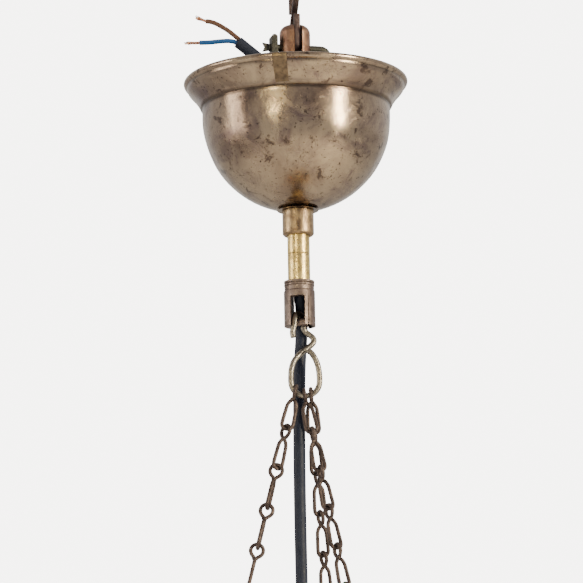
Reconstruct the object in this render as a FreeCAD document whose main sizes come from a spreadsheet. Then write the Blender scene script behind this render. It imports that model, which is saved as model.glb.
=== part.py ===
import FreeCAD, Part
import Sketcher
import math
import os

from FreeCAD import Placement, Rotation, Vector

# Alabaster bowl pendant, in millimetres, +Z up.
# The origin is the middle of the hanger's upper loop, where a ceiling hook carries the lamp.
# -Y is the front. Heights are counted down from the origin.

doc = FreeCAD.newDocument("alabaster_bowl_pendant")
sheet = doc.addObject("Spreadsheet::Sheet", "dims")

SIZES = [
    # hanging hook of flat strip
    ("strap_width", 3.2),
    ("strap_thickness", 1.8),
    ("loop_radius", 4.1),
    ("loop_spacing", 33.0),
    ("shank_bend_low", 9.0),
    ("shank_bend_high", 8.0),
    ("shank_bend_radius", 3.4),
    ("hook_end_low", 15.2),
    ("hook_end_high", 15.2),
    # fork, its pin and tab
    ("fork_turn", 14.0),
    ("fork_diameter", 15.9),
    ("fork_above_pin", 12.0),
    ("fork_edge_radius", 4.4),
    ("slot_clearance", 0.5),
    ("slot_below_pin", 5.2),
    ("outlet_below_slot", 3.2),
    ("outlet_height", 15.0),
    ("outlet_width", 9.4),
    ("socket_depth", 15.0),
    ("pin_diameter", 4.0),
    ("pin_left", 13.6),
    ("pin_right", 14.4),
    ("pin_tail_length", 3.9),
    ("pin_tail_width", 4.8),
    ("pin_tail_thickness", 1.3),
    ("pin_hook_radius", 2.6),
    ("pin_hook_drop", 3.0),
    ("tab_offset", 11.4),
    ("tab_width", 3.3),
    ("tab_length", 10.4),
    ("tab_above_pin", 6.6),
    ("tab_thickness", 1.6),
    ("seat_gap", 0.1),
    ("hole_gap", 0.05),
    # threaded stem with its sleeves
    ("tube_diameter", 10.0),
    ("tube_bore", 8.4),
    ("tube_in_fork", 12.6),
    ("thread_gap", 0.05),
    ("sleeve_diameter", 11.4),
    ("sleeve_top_above_collar", 5.0),
    ("upper_sleeve_below_collar", 9.5),
    ("nut_across_flats", 14.0),
    ("nut_height", 4.0),
    # ceiling cup
    ("rim_below_pin", 17.4),
    ("cup_rim_diameter", 115.5),
    ("cup_body_diameter", 96.6),
    ("cup_height", 68.6),
    ("cup_wall", 0.9),
    ("rim_bead", 3.0),
    ("flare_top", 3.6),
    ("flare_bottom", 14.6),
    ("cup_hole", 12.2),
    ("cup_seat", 15.0),
    ("patch_width", 7.4),
    ("patch_thickness", 0.6),
    ("patch_turn", 8.0),
    # sliding collar and its screw
    ("collar_diameter", 16.1),
    ("collar_height", 13.2),
    ("collar_chamfer", 0.9),
    ("collar_bore_gap", 0.15),
    ("screw_diameter", 3.0),
    ("screw_head_diameter", 5.0),
    ("screw_head_height", 1.8),
    # stirrup and its ring
    ("stem_below_collar", 23.7),
    ("ring_diameter", 15.6),
    ("ring_height", 2.6),
    ("ring_groove", 0.5),
    ("yoke_turn", -8.5),
    ("yoke_diameter", 15.9),
    ("yoke_neck_diameter", 15.1),
    ("yoke_neck_height", 2.2),
    ("yoke_height", 20.8),
    ("tube_in_yoke", 3.4),
    ("window_width", 7.4),
    ("window_top", 5.9),
    ("window_back_top", 3.4),
    ("bar_diameter", 4.2),
    ("cheek_below_bar", 0.4),
    ("cheek_corner", 3.0),
    # wire hook
    ("hook_wire", 3.0),
    ("hook_loop_radius", 7.2),
    # chains
    ("link_wire", 1.9),
    ("eye_width", 8.2),
    ("link_pitch", 20.9),
    ("link_clearance", 0.12),
    ("link_neck", 4.4),
    ("links_per_chain", 20),
    # bowl and its eye hooks
    ("hook_inset", 13.0),
    ("eye_hook_wire", 3.0),
    ("eye_hook_radius", 4.2),
    ("eye_hook_neck", 5.0),
    ("lip_thickness", 10.0),
    ("lip_hole", 5.0),
    ("bowl_diameter", 241.0),
    ("bowl_depth", 82.0),
    ("bowl_wall", 9.0),
    ("bowl_lip_width", 22.5),
    ("washer_diameter", 12.0),
    ("washer_thickness", 1.2),
    ("hook_nut_width", 7.0),
    ("hook_nut_height", 3.0),
    # flex
    ("flex_diameter", 6.2),
    ("core_diameter", 2.4),
    ("strand_diameter", 1.7),
    # lampholder
    ("holder_above_bowl", 14.0),
    ("grip_diameter", 13.0),
    ("grip_height", 11.0),
    ("cap_diameter", 38.6),
    ("cap_height", 20.0),
    ("cap_wall", 1.2),
    ("body_diameter", 40.0),
    ("body_height", 34.0),
    ("body_wall", 2.4),
    ("socket_diameter", 26.4),
    ("socket_length", 24.0),
    ("insert_diameter", 33.0),
    ("insert_floor", 5.0),
    ("contact_diameter", 7.0),
    ("contact_height", 1.6),
    ("contact_recess", 20.8),
    ("shade_ring_diameter", 47.0),
    ("shade_ring_height", 7.0),
]

for row, (alias, number) in enumerate(SIZES, start=1):
    sheet.set("A%d" % row, alias)
    sheet.set("B%d" % row, str(number))
    sheet.setAlias("B%d" % row, alias)
doc.recompute()


class Size:
    """A number together with the sheet expression that gives it."""

    def __init__(self, value, text):
        self.value = float(value)
        self.text = text

    def joined(self, other, sign, result):
        text = other.text if isinstance(other, Size) else repr(float(other))
        return Size(result, "(%s %s %s)" % (self.text, sign, text))

    def __add__(self, other):
        return self.joined(other, "+", self.value + plain(other))

    def __sub__(self, other):
        return self.joined(other, "-", self.value - plain(other))

    def __mul__(self, other):
        return self.joined(other, "*", self.value * plain(other))

    def __truediv__(self, other):
        return self.joined(other, "/", self.value / plain(other))

    def __neg__(self):
        return Size(0.0, "0").joined(self, "-", -self.value)


def plain(size):
    return size.value if isinstance(size, Size) else float(size)


def size(alias):
    return Size(sheet.get(alias), "dims." + alias)


ZERO = Size(0.0, "0")


# Heights, all worked out downwards from the origin.
pin_z = -(size("loop_spacing") + size("loop_radius") - size("pin_diameter") / 2 - size("seat_gap"))
fork_top = pin_z + size("fork_above_pin")
slot_floor = pin_z - size("slot_below_pin")
outlet_top = slot_floor - size("outlet_below_slot")
outlet_bottom = outlet_top - size("outlet_height")
fork_bottom = outlet_bottom - size("socket_depth")
tube_top = fork_bottom + size("tube_in_fork")
rim_z = pin_z - size("rim_below_pin")
cup_bottom = rim_z - size("cup_height")
collar_top = cup_bottom - size("seat_gap")
collar_bottom = collar_top - size("collar_height")
sleeve_top = collar_top + size("sleeve_top_above_collar")
sleeve_seam = collar_bottom - size("upper_sleeve_below_collar")
ring_top = collar_bottom - size("stem_below_collar")
yoke_top = ring_top - size("ring_height")
yoke_bottom = yoke_top - size("yoke_height")
tube_bottom = yoke_top - size("tube_in_yoke")
bar_z = yoke_bottom + size("cheek_below_bar") + size("bar_diameter") / 2
hook_circle = size("bowl_diameter") / 2 - size("hook_inset")


def polar(radius, degrees):
    """A flat vector at an angle from +X."""
    angle = math.radians(degrees)
    return Vector(radius * math.cos(angle), radius * math.sin(angle), 0)


FORK_TURN = Rotation(Vector(0, 0, 1), size("fork_turn").value)
YOKE_TURN = Rotation(Vector(0, 0, 1), size("yoke_turn").value)


# --- ways of making a piece -------------------------------------------------

def bind(piece, **sizes):
    """Bind properties of a piece to sheet expressions."""
    for name, value in sizes.items():
        setattr(piece, name, plain(value))
        piece.setExpression(name, value.text)
    return piece


def raised(piece, z, turn_alias=None):
    """Lift a piece to a height, and turn it about Z by a sheet angle."""
    piece.setExpression(".Placement.Base.z", z.text)
    if turn_alias:
        piece.setExpression(".Placement.Rotation.Angle", "dims." + turn_alias)
    return piece


def drum(name, diameter, height, z):
    """A plain cylinder that stands at height z."""
    piece = doc.addObject("Part::Cylinder", name)
    bind(piece, Radius=diameter / 2, Height=height)
    return raised(piece, z)


def block(name, width, depth, height, z, y=None):
    """A box centred on X, from z up, centred on Y unless y says where it starts."""
    piece = doc.addObject("Part::Box", name)
    bind(piece, Length=width, Width=depth, Height=height)
    piece.setExpression(".Placement.Base.x", (-width / 2).text)
    piece.setExpression(".Placement.Base.y", (-depth / 2 if y is None else y).text)
    return raised(piece, z)


def cut(name, base, tools):
    """Cut each tool from the base in turn."""
    for index, tool in enumerate(tools):
        piece = doc.addObject("Part::Cut", "%s_cut_%d" % (name, index))
        piece.Base = base
        piece.Tool = tool
        base = piece
    base.Label = name
    return base


def origin_plane(body, role):
    return [f for f in body.Origin.OriginFeatures if f.Role == role][0]


def turned(name, outline, z=ZERO):
    """A turned piece: a closed outline of (radius, height) points, revolved about Z."""
    body = doc.addObject("PartDesign::Body", name)
    sketch = body.newObject("Sketcher::SketchObject", name + "_outline")
    sketch.AttachmentSupport = (origin_plane(body, "XZ_Plane"), [""])
    sketch.MapMode = "FlatFace"
    spots = [Vector(plain(r), plain(h), 0) for r, h in outline]
    lines = [Part.LineSegment(spots[i - 1], spots[i]) for i in range(len(spots))]
    sketch.addGeometry(lines, False)
    for index, (radius, height) in enumerate(outline):
        after = (index + 1) % len(outline)
        sketch.addConstraint(Sketcher.Constraint("Coincident", index, 2, after, 1))
    for index, (radius, height) in enumerate(outline):
        for kind, value in (("DistanceX", radius), ("DistanceY", height)):
            sign = -1 if plain(value) < 0 else 1
            ends = (-1, 1, index, 2) if sign > 0 else (index, 2, -1, 1)
            if not isinstance(value, Size) or value is ZERO:
                row = sketch.addConstraint(Sketcher.Constraint(kind, -1, 1, index, 2, plain(value)))
                continue
            row = sketch.addConstraint(Sketcher.Constraint(kind, *ends, abs(plain(value))))
            text = value.text if sign > 0 else (-value).text
            sketch.setExpression("Constraints[%d]" % row, text)
    turn = body.newObject("PartDesign::Revolution", name + "_turned")
    turn.Profile = sketch
    turn.ReferenceAxis = (sketch, ["V_Axis"])
    turn.Angle = 360
    body.Tip = turn
    return raised(body, z)


def banded(name, outline, z, sides):
    """A turned piece made of flat facets, from a closed outline of (radius, height) points."""
    spots = [(plain(r), plain(h)) for r, h in outline]
    faces = []
    for (radius, height), (far, high) in zip(spots, spots[1:] + spots[:1]):
        if radius == 0 and far == 0:
            continue
        near_ring = [polar(radius, 360 * k / sides) + Vector(0, 0, height) for k in range(sides + 1)]
        far_ring = [polar(far, 360 * k / sides) + Vector(0, 0, high) for k in range(sides + 1)]
        if radius * far == 0:
            faces.append(Part.Face(Part.makePolygon(near_ring if radius else far_ring)))
            continue
        for k in range(sides):
            faces.append(flat_face([near_ring[k], near_ring[k + 1], far_ring[k + 1], far_ring[k]]))
    solid = Part.Solid(Part.Shell(faces))
    if solid.Volume < 0:
        solid.reverse()
    return raised(shaped(name, solid.removeSplitter()), z)


def shaped(name, shape):
    """A piece whose form is set by functions of the sheet's sizes."""
    piece = doc.addObject("Part::Feature", name)
    piece.Shape = shape
    return piece


def bent_path(points, radii):
    """Straight runs joined by tangent arcs of the given radii."""
    points = [Vector(*p) for p in points]
    edges = []
    last = points[0]
    for before, corner, after, radius in zip(points, points[1:], points[2:], radii):
        into = (before - corner).normalize()
        out = (after - corner).normalize()
        half_turn = (math.pi - into.getAngle(out)) / 2
        reach = radius * math.tan(half_turn)
        middle = (into + out).normalize()
        start, end = corner + into * reach, corner + out * reach
        top = corner + middle * (radius / math.cos(half_turn) - radius)
        if (start - last).Length > 1e-6:
            edges.append(Part.LineSegment(last, start).toShape())
        edges.append(Part.Arc(start, top, end).toShape())
        last = end
    if (points[-1] - last).Length > 1e-6:
        edges.append(Part.LineSegment(last, points[-1]).toShape())
    return Part.Wire(edges)


def rounded_path(points):
    """A route rounded at its corners, each arc as large as its two runs allow."""
    spots = [Vector(*p) for p in points]
    radii = []
    for before, corner, after in zip(spots, spots[1:], spots[2:]):
        into, out = before - corner, after - corner
        half_turn = (math.pi - into.getAngle(out)) / 2
        radii.append(0.45 * min(into.Length, out.Length) / math.tan(half_turn))
    return bent_path(points, radii), radii


def swept(section, path):
    """One solid: a closed section carried along a path."""
    return path.makePipeShell([section], True, False)


def polygon(radius, sides, place):
    """A regular outline with its corners at a radius, placed and turned from the XY plane."""
    spots = [place.multVec(polar(radius, 360 * (k + 0.5) / sides)) for k in range(sides)]
    return Part.makePolygon(spots + spots[:1])


def prism(radius, sides, height, z):
    """An upright prism with its corners at a radius."""
    outline = polygon(radius, sides, Placement(Vector(0, 0, z), Rotation()))
    return Part.Face(outline).extrude(Vector(0, 0, height))


def flex(name, diameter, points, sides=16):
    """A cord along a route, with a flat-sided section as large as the round one."""
    path, radii = rounded_path(points)
    start = Vector(*points[0])
    turn = Rotation(Vector(0, 0, 1), Vector(*points[1]) - start)
    fill = math.sqrt(2 * math.pi / (sides * math.sin(2 * math.pi / sides)))
    shape = swept(polygon(diameter / 2 * fill, sides, Placement(start, turn)), path)
    ratio = shape.Volume / (math.pi * diameter * diameter / 4 * path.Length)
    print("%s: length %.1f, volume ratio %.4f" % (name, path.Length, ratio),
          "radii", [round(r, 1) for r in radii])
    return shaped(name, shape)


def mitred(points, half_width, sides, closed, start_turn=0.5):
    """Wire of flat-sided section along straight runs, with mitred corners."""
    points = [Vector(*p) for p in points]
    count = len(points)
    runs = [points[(i + 1) % count] - points[i] for i in range(count if closed else count - 1)]
    for run in runs:
        run.normalize()
    ring = []
    across = runs[0].cross(Vector(0.13, 0.29, 1))
    if closed:
        across = normal_of(points)
    across = (across - runs[0] * across.dot(runs[0])).normalize()
    beside = runs[0].cross(across)
    radius = half_width / math.cos(math.pi / sides)
    for side in range(sides):
        angle = 2 * math.pi * (side + start_turn) / sides
        ring.append((across * math.cos(angle) + beside * math.sin(angle)) * radius + points[0])
    rings = []
    for index in range(count):
        if closed:
            before, after = runs[index - 1], runs[index]
        else:
            before, after = runs[max(index - 1, 0)], runs[min(index, count - 2)]
        plane = (before + after).normalize()
        travel = after if index == 0 else before
        ring = [spot + travel * ((points[index] - spot).dot(plane) / travel.dot(plane))
                for spot in ring]
        rings.append(ring)
    faces = []
    for index in range(count if closed else count - 1):
        low, high = rings[index], rings[(index + 1) % count]
        for side in range(sides):
            after = (side + 1) % sides
            faces.append(flat_face([low[side], low[after], high[after], high[side]]))
    if not closed:
        faces.append(flat_face(rings[0]))
        faces.append(flat_face(rings[-1]))
    solid = Part.Solid(Part.Shell(faces))
    if solid.Volume < 0:
        solid.reverse()
    return solid


def flat_face(corners):
    return Part.Face(Part.makePolygon(list(corners) + [corners[0]]))


def normal_of(points):
    """The normal of a flat closed outline."""
    total = Vector(0, 0, 0)
    for before, after in zip(points, points[1:] + points[:1]):
        total = total + before.cross(after)
    return total.normalize()


# --- hanging hook, fork and cross pin ----------------------------------------

def hanger_hook():
    """Flat strip bent to an S in the fork's slot, with squared ends."""
    middle = size("loop_radius").value + size("strap_thickness").value / 2
    low = -size("loop_spacing").value
    bend = size("shank_bend_radius").value
    route = [
        (0, -middle, low + size("hook_end_low").value),
        (0, -middle, low - middle),
        (0, middle, low - middle),
        (0, middle, low + size("shank_bend_low").value),
        (0, -middle, -size("shank_bend_high").value),
        (0, -middle, middle),
        (0, middle, middle),
        (0, middle, -size("hook_end_high").value),
    ]
    path = bent_path(route, [middle, middle, bend, bend, middle, middle])
    wide, thick = size("strap_width").value / 2, size("strap_thickness").value / 2
    corners = [(-wide, -thick), (wide, -thick), (wide, thick), (-wide, thick)]
    spots = [Vector(x, y - middle, route[0][2]) for x, y in corners]
    strip = swept(Part.makePolygon(spots + spots[:1]), path)
    piece = shaped("hanger_hook", strip)
    piece.Placement = Placement(Vector(0, 0, 0), FORK_TURN)
    return piece


def top_fork():
    """Round fork: slot for the hook, hole for the pin, side outlet and threaded socket."""
    radius, edge = size("fork_diameter") / 2, size("fork_edge_radius")
    height = fork_top - fork_bottom
    outline = [(ZERO, ZERO), (radius, ZERO)]
    for step in range(3):
        angle = math.radians(45 * step)
        outline.append((radius - edge * (1 - math.cos(angle)), height - edge * (1 - math.sin(angle))))
    outline.append((ZERO, height))
    base = turned("fork_blank", outline, fork_bottom)
    across = size("fork_diameter") * 2
    slot = block("fork_slot", size("strap_width") + size("slot_clearance") * 2, across,
                 fork_top - slot_floor + 1, slot_floor)
    outlet = block("fork_outlet", across, size("outlet_width"), size("outlet_height"), outlet_bottom)
    socket = drum("fork_socket", size("tube_diameter") + size("thread_gap") * 2,
                  size("socket_depth") + 1, fork_bottom - 1)
    hole = doc.addObject("Part::Cylinder", "fork_pin_hole")
    bind(hole, Radius=size("pin_diameter") / 2 + size("hole_gap"), Height=across)
    hole.Placement = Placement(Vector(0, 0, 0), Rotation(Vector(0, 1, 0), 90))
    hole.setExpression(".Placement.Base.x", (-across / 2).text)
    raised(hole, pin_z)
    fork = cut("top_fork", base, [slot, outlet, socket, hole])
    fork.Placement = Placement(Vector(0, 0, 0), FORK_TURN)
    return fork


def cross_pin():
    """Pin through the fork: one end flattened to a fishtail, the other bent down."""
    radius, bend = size("pin_diameter").value / 2, size("pin_hook_radius").value
    left, right = -size("pin_left").value, size("pin_right").value + bend
    route = [(left, 0, 0), (right, 0, 0), (right, 0, -bend - size("pin_hook_drop").value)]
    end = polygon(radius, 14, Placement(Vector(left, 0, 0), Rotation(Vector(0, 1, 0), 90)))
    rod = swept(end, bent_path(route, [bend]))
    wide, thick = size("pin_tail_width").value / 2, size("pin_tail_thickness").value / 2
    tip = left - size("pin_tail_length").value
    corners = [(left + 1.5, 0.8 * radius), (left + 1.5, -0.8 * radius), (left, -0.8 * radius),
               (tip, -wide), (tip + 1.1, 0), (tip, wide), (left, 0.8 * radius)]
    spots = [Vector(x, -thick, z) for x, z in corners]
    tail = Part.Face(Part.makePolygon(spots + spots[:1])).extrude(Vector(0, 2 * thick, 0))
    piece = shaped("cross_pin", rod.fuse(tail).removeSplitter())
    piece.Placement = Placement(Vector(0, 0, pin_z.value), FORK_TURN)
    return piece


def pin_tab():
    """Round-topped tab that stands on the pin beside the fork."""
    half = size("tab_width").value / 2
    top = size("tab_above_pin").value
    foot = top - size("tab_length").value
    deep = size("pin_diameter").value / 2 + size("tab_thickness").value
    edges = [
        Part.LineSegment(Vector(-half, -deep, foot), Vector(half, -deep, foot)),
        Part.LineSegment(Vector(half, -deep, foot), Vector(half, -deep, top - half)),
        Part.Arc(Vector(half, -deep, top - half), Vector(0, -deep, top), Vector(-half, -deep, top - half)),
        Part.LineSegment(Vector(-half, -deep, top - half), Vector(-half, -deep, foot)),
    ]
    tab = Part.Face(Part.Wire([e.toShape() for e in edges])).extrude(Vector(0, 2 * deep, 0))
    bore = Part.makeCylinder(size("pin_diameter").value / 2 + size("hole_gap").value,
                             2 * size("tab_width").value, Vector(-2 * half, 0, 0), Vector(1, 0, 0))
    piece = shaped("pin_tab", tab.cut(bore))
    offset = FORK_TURN.multVec(Vector(-size("tab_offset").value, 0, pin_z.value))
    piece.Placement = Placement(offset, FORK_TURN)
    return piece


# --- stem, sleeves, collar ----------------------------------------------------

def tube(name, diameter, bore, low, high):
    """A length of tube between two heights."""
    outer = drum(name + "_outside", diameter, high - low, low)
    inner = drum(name + "_bore", bore, high - low + 2, low - 1)
    return cut(name, outer, [inner])


def stem_nut():
    """Hexagon nut that clamps the sleeves on the tube."""
    nut = doc.addObject("Part::Prism", "nut_blank")
    nut.Polygon = 6
    flats_to_corners = math.cos(math.pi / 6)
    bind(nut, Circumradius=size("nut_across_flats") / 2 / flats_to_corners, Height=size("nut_height"))
    raised(nut, sleeve_top)
    bore = drum("nut_bore", size("tube_diameter") + size("thread_gap") * 2,
                size("nut_height") + 2, sleeve_top - 1)
    return cut("stem_nut", nut, [bore])


def cup_collar():
    """Collar that slides on the sleeves, chamfered below, with a screw hole at the back."""
    outer = size("collar_diameter") / 2
    bore = size("sleeve_diameter") / 2 + size("collar_bore_gap")
    chamfer = size("collar_chamfer")
    outline = [(bore, ZERO), (outer - chamfer, ZERO), (outer, chamfer),
               (outer, size("collar_height")), (bore, size("collar_height"))]
    collar = turned("collar_blank", outline, collar_bottom)
    hole = backward("collar_screw_hole", size("screw_diameter") + size("hole_gap") * 2,
                    size("collar_diameter"), ZERO)
    return cut("cup_collar", collar, [hole])


def backward(name, diameter, length, start):
    """A cylinder that points to the back from the axis, at the collar's screw."""
    piece = doc.addObject("Part::Cylinder", name)
    bind(piece, Radius=diameter / 2, Height=length)
    piece.Placement = Placement(Vector(0, 0, 0), Rotation(Vector(1, 0, 0), -90))
    piece.setExpression(".Placement.Base.y", start.text)
    return raised(piece, collar_bottom + size("collar_height") / 2)


def collar_screw():
    """Screw at the back of the collar, with its tip near the sleeve."""
    tip = size("sleeve_diameter") / 2 + size("collar_bore_gap")
    face = size("collar_diameter") / 2 + size("hole_gap")
    shank = backward("screw_shank", size("screw_diameter"), face - tip + size("screw_head_height") / 2, tip)
    head = backward("screw_head", size("screw_head_diameter"), size("screw_head_height"), face)
    screw = doc.addObject("Part::Fuse", "collar_screw")
    screw.Base = shank
    screw.Tool = head
    return screw


# --- ceiling cup ----------------------------------------------------------------

SPHERE_BANDS = 6
FLARE_BANDS = 3


def cup_side(inset):
    """The cup's side from the seat up to the bead, moved inwards by a wall."""
    radius = size("cup_body_diameter") / 2
    side = []
    for step in range(1, SPHERE_BANDS + 1):
        angle = math.radians(90 * step / SPHERE_BANDS)
        side.append(((radius - inset) * math.sin(angle), radius - (radius - inset) * math.cos(angle)))
    rise = size("flare_bottom") - size("flare_top")
    reach = (size("cup_rim_diameter") - size("rim_bead") - size("cup_body_diameter")) / 2 + inset / 2
    for step in range(FLARE_BANDS + 1):
        share = step / FLARE_BANDS
        spread = (1 - math.cos(math.pi * share)) / 2
        side.append((radius - inset + reach * spread,
                     size("cup_height") - size("flare_bottom") + rise * share))
    return side


def ceiling_cup():
    """Thin bell with a half-round bottom, a flared mouth and a rolled bead."""
    wall, bead = size("cup_wall"), size("rim_bead") / 2
    seat, hole = size("cup_seat") / 2, size("cup_hole") / 2
    middle = size("cup_rim_diameter") / 2 - bead
    rolled = []
    for degrees in (-60, 0, 60, 120):
        angle = math.radians(degrees)
        rolled.append((middle + bead * math.cos(angle),
                       size("cup_height") - bead + bead * math.sin(angle)))
    outline = [(hole, ZERO), (seat, ZERO)] + cup_side(ZERO) + rolled
    outline += cup_side(wall)[::-1] + [(seat, wall), (hole, wall)]
    return banded("ceiling_cup", outline, cup_bottom, 64)


def rim_patch():
    """Short strap lapped over the bead and the flare at the front."""
    gap, thick = size("hole_gap").value * 3, size("patch_thickness").value
    bead = size("rim_bead").value
    rim = size("cup_rim_diameter").value / 2 + gap
    top = size("cup_height").value
    flare = [(r.value + gap, plain(h) - gap) for r, h in cup_side(ZERO)[-2:]]
    slope = (flare[1][0] - flare[0][0]) / (flare[1][1] - flare[0][1])
    under = flare[1][0] + slope * (top - bead - flare[1][1])
    inner = [flare[0], (under, top - bead - gap), (rim, top - bead - gap), (rim, top)]
    outer = [(rim + thick, top), (rim + thick, top - bead - thick),
             (under + thick, top - bead - thick), (flare[0][0] + thick, flare[0][1])]
    spots = [Vector(r, 0, h) for r, h in inner + outer]
    half = math.degrees(size("patch_width").value / 2 / rim)
    strap = Part.Face(Part.makePolygon(spots + spots[:1]))
    strap = strap.revolve(Vector(0, 0, 0), Vector(0, 0, 1), 2 * half)
    piece = shaped("rim_patch", strap)
    front = Rotation(Vector(0, 0, 1), -90 - size("patch_turn").value - half)
    piece.Placement = Placement(Vector(0, 0, cup_bottom.value), front)
    return piece


# --- lock ring and stirrup ------------------------------------------------------

def lock_ring():
    """Ring with a groove around its middle, above the stirrup."""
    outer, bore = size("ring_diameter") / 2, size("tube_diameter") / 2 + size("thread_gap")
    height = size("ring_height")
    groove = outer - size("ring_groove")
    outline = [(bore, ZERO), (outer, ZERO), (outer, height * 0.4), (groove, height * 0.4),
               (groove, height * 0.6), (outer, height * 0.6), (outer, height), (bore, height)]
    return turned("lock_ring", outline, yoke_top)


def lower_yoke():
    """Stirrup: round head with a neck, open between two cheeks that carry the bar."""
    radius, neck = size("yoke_diameter") / 2, size("yoke_neck_diameter") / 2
    height = size("yoke_height")
    shoulder = height - size("yoke_neck_height")
    outline = [(ZERO, ZERO), (radius, ZERO), (radius, shoulder), (neck, shoulder + 0.4),
               (neck, height), (ZERO, height)]
    base = turned("yoke_blank", outline, yoke_bottom)
    across = size("yoke_diameter") * 2
    window = block("yoke_window", size("window_width"), across,
                   height - size("window_top") + 1, yoke_bottom - 1)
    back = block("yoke_back_window", size("window_width"), across,
                 height - size("window_back_top") + 1, yoke_bottom - 1, y=ZERO)
    socket = drum("yoke_socket", size("tube_diameter") + size("thread_gap") * 2,
                  size("tube_in_yoke") + 1, tube_bottom)
    passage = drum("yoke_passage", size("tube_bore"), size("window_top"), yoke_top - size("window_top") - 0.5)
    corners = [cheek_corner(side) for side in (-1, 1)]
    yoke = cut("yoke_head", base, [window, back, socket, passage] + corners)
    bar = doc.addObject("Part::Cylinder", "yoke_bar")
    bind(bar, Radius=size("bar_diameter") / 2, Height=size("window_width") + 2)
    bar.Placement = Placement(Vector(0, 0, 0), Rotation(Vector(0, 1, 0), 90))
    bar.setExpression(".Placement.Base.x", (-size("window_width") / 2 - 1).text)
    raised(bar, bar_z)
    joined = doc.addObject("Part::Fuse", "lower_yoke")
    joined.Base = yoke
    joined.Tool = bar
    joined.Placement = Placement(Vector(0, 0, 0), YOKE_TURN)
    return joined


def cheek_corner(side):
    """What is cut away where a cheek's outer edge is rounded at the bottom."""
    radius, wide = size("cheek_corner").value, size("yoke_diameter").value
    edge, low = wide / 2, yoke_bottom.value
    middle = Vector(edge - radius, -wide, low + radius)
    slant = radius * math.sqrt(0.5)
    arc = Part.Arc(Vector(edge - radius, -wide, low),
                   middle + Vector(slant, 0, -slant), Vector(edge, -wide, low + radius))
    outside = [Vector(edge, -wide, low + radius), Vector(edge + 2, -wide, low + radius),
               Vector(edge + 2, -wide, low - 2), Vector(edge - radius, -wide, low - 2),
               Vector(edge - radius, -wide, low)]
    face = Part.Face(Part.Wire([arc.toShape()] + Part.makePolygon(outside).Edges))
    waste = face.extrude(Vector(0, 2 * wide, 0))
    if side < 0:
        waste = waste.mirror(Vector(0, 0, 0), Vector(1, 0, 0))
    return shaped("cheek_corner_%s" % ("left" if side < 0 else "right"), waste)


# --- wire hook and chains --------------------------------------------------------

LOOP_RADIUS = size("hook_loop_radius").value
LOOP_STEPS = 8
HOOK_SCALE = LOOP_RADIUS / 7.2


def below_bar(x, y, z):
    """A point of the wire hook, from the middle of the stirrup's bar."""
    return Vector(x, y, z) * HOOK_SCALE + Vector(0, 0, bar_z.value)


LOOP_MIDDLE = below_bar(2.2, 0, -31.0)


def hook_route():
    """The middle line of the wire hook, from its upper tip to its lower tip."""
    around_bar = [(-1.8, -4.3, -2.6), (-1.8, -4.2, 1.9), (-1.4, -1.6, 3.85),
                  (0.2, 1.8, 3.85), (1.4, 3.9, 1.2), (1.2, 4.2, -4.2)]
    points = [below_bar(-2.1, -4.7, -8.8)]
    points += [below_bar(*YOKE_TURN.multVec(Vector(*spot))) for spot in around_bar]
    below = [(5.3, 5.0, -7.2), (5.2, 4.7, -9.0), (3.2, 4.4, -11.0), (0.3, 3.6, -13.9),
             (-3.2, 1.5, -18.1), (-4.8, 0, -23.1)]
    points += [below_bar(*spot) for spot in below]
    for step in range(LOOP_STEPS + 1):
        angle = math.pi * step / LOOP_STEPS
        points.append(LOOP_MIDDLE + Vector(-math.cos(angle), 0, -math.sin(angle)) * LOOP_RADIUS)
    rising = [(9.4, 0, -22.5), (8.6, 0, -17.7), (6.4, 0, -15.4), (3.9, 0, -15.0)]
    return points + [below_bar(*spot) for spot in rising]


def s_hook():
    """Round wire bent to an S between the stirrup's bar and the chains."""
    return shaped("s_hook", mitred(hook_route(), size("hook_wire").value / 2, 8, False))


def loop_spot(x):
    """A point of the hook's lower loop, by its distance from the middle line."""
    across = x * HOOK_SCALE - LOOP_MIDDLE.x
    return Vector(x * HOOK_SCALE, 0, LOOP_MIDDLE.z - math.sqrt(LOOP_RADIUS ** 2 - across ** 2))


CHAINS = {
    "chain_left": (-3.0, 194, 40, 90),
    "chain_right": (1.8, 314, 10, 25),
    "chain_back": (5.0, 74, 10, 25),
}
LINK_SECTION = size("link_wire").value * 0.42
EYE_SAG = 0.1 * HOOK_SCALE
LOOP_END = 1.25 * HOOK_SCALE
HOOK_SAG = 2.65 * HOOK_SCALE


def eye_middle():
    return size("eye_width").value / 2 - size("link_wire").value / 2


def hook_drop():
    """How far below the loop the eye hooks' tops are, for the nominal pitch."""
    reach = size("link_pitch").value * size("links_per_chain").value + EYE_SAG - LOOP_END - HOOK_SAG
    x, azimuth, roll, most = CHAINS["chain_left"]
    start = loop_spot(x)
    across = polar(hook_circle.value, azimuth) - Vector(start.x, start.y, 0)
    return start.z - math.sqrt(reach ** 2 - across.Length ** 2)


hook_eye_top = hook_drop()


def chain_line(name):
    """Where a chain starts, which way it runs, and its pitch."""
    x, azimuth, roll, most = CHAINS[name]
    start = loop_spot(x)
    target = polar(hook_circle.value, azimuth) + Vector(0, 0, hook_eye_top)
    line = target - start
    pitch = (line.Length - EYE_SAG + LOOP_END + HOOK_SAG) / size("links_per_chain").value
    down = line.normalize()
    return start + down * EYE_SAG, down, pitch


def link_turn(name, index):
    """The rotation that takes a link's own axes (X across the loop, -Z along) to its place."""
    start, down, pitch = chain_line(name)
    x, azimuth, roll, most = CHAINS[name]
    across = (Vector(1, 0, 0) - down * down.x).normalize()
    turn = Rotation(across, (down * -1).cross(across), down * -1, "ZXY")
    return turn.multiply(Rotation(Vector(0, 0, 1), min(roll * index, most)))


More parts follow.
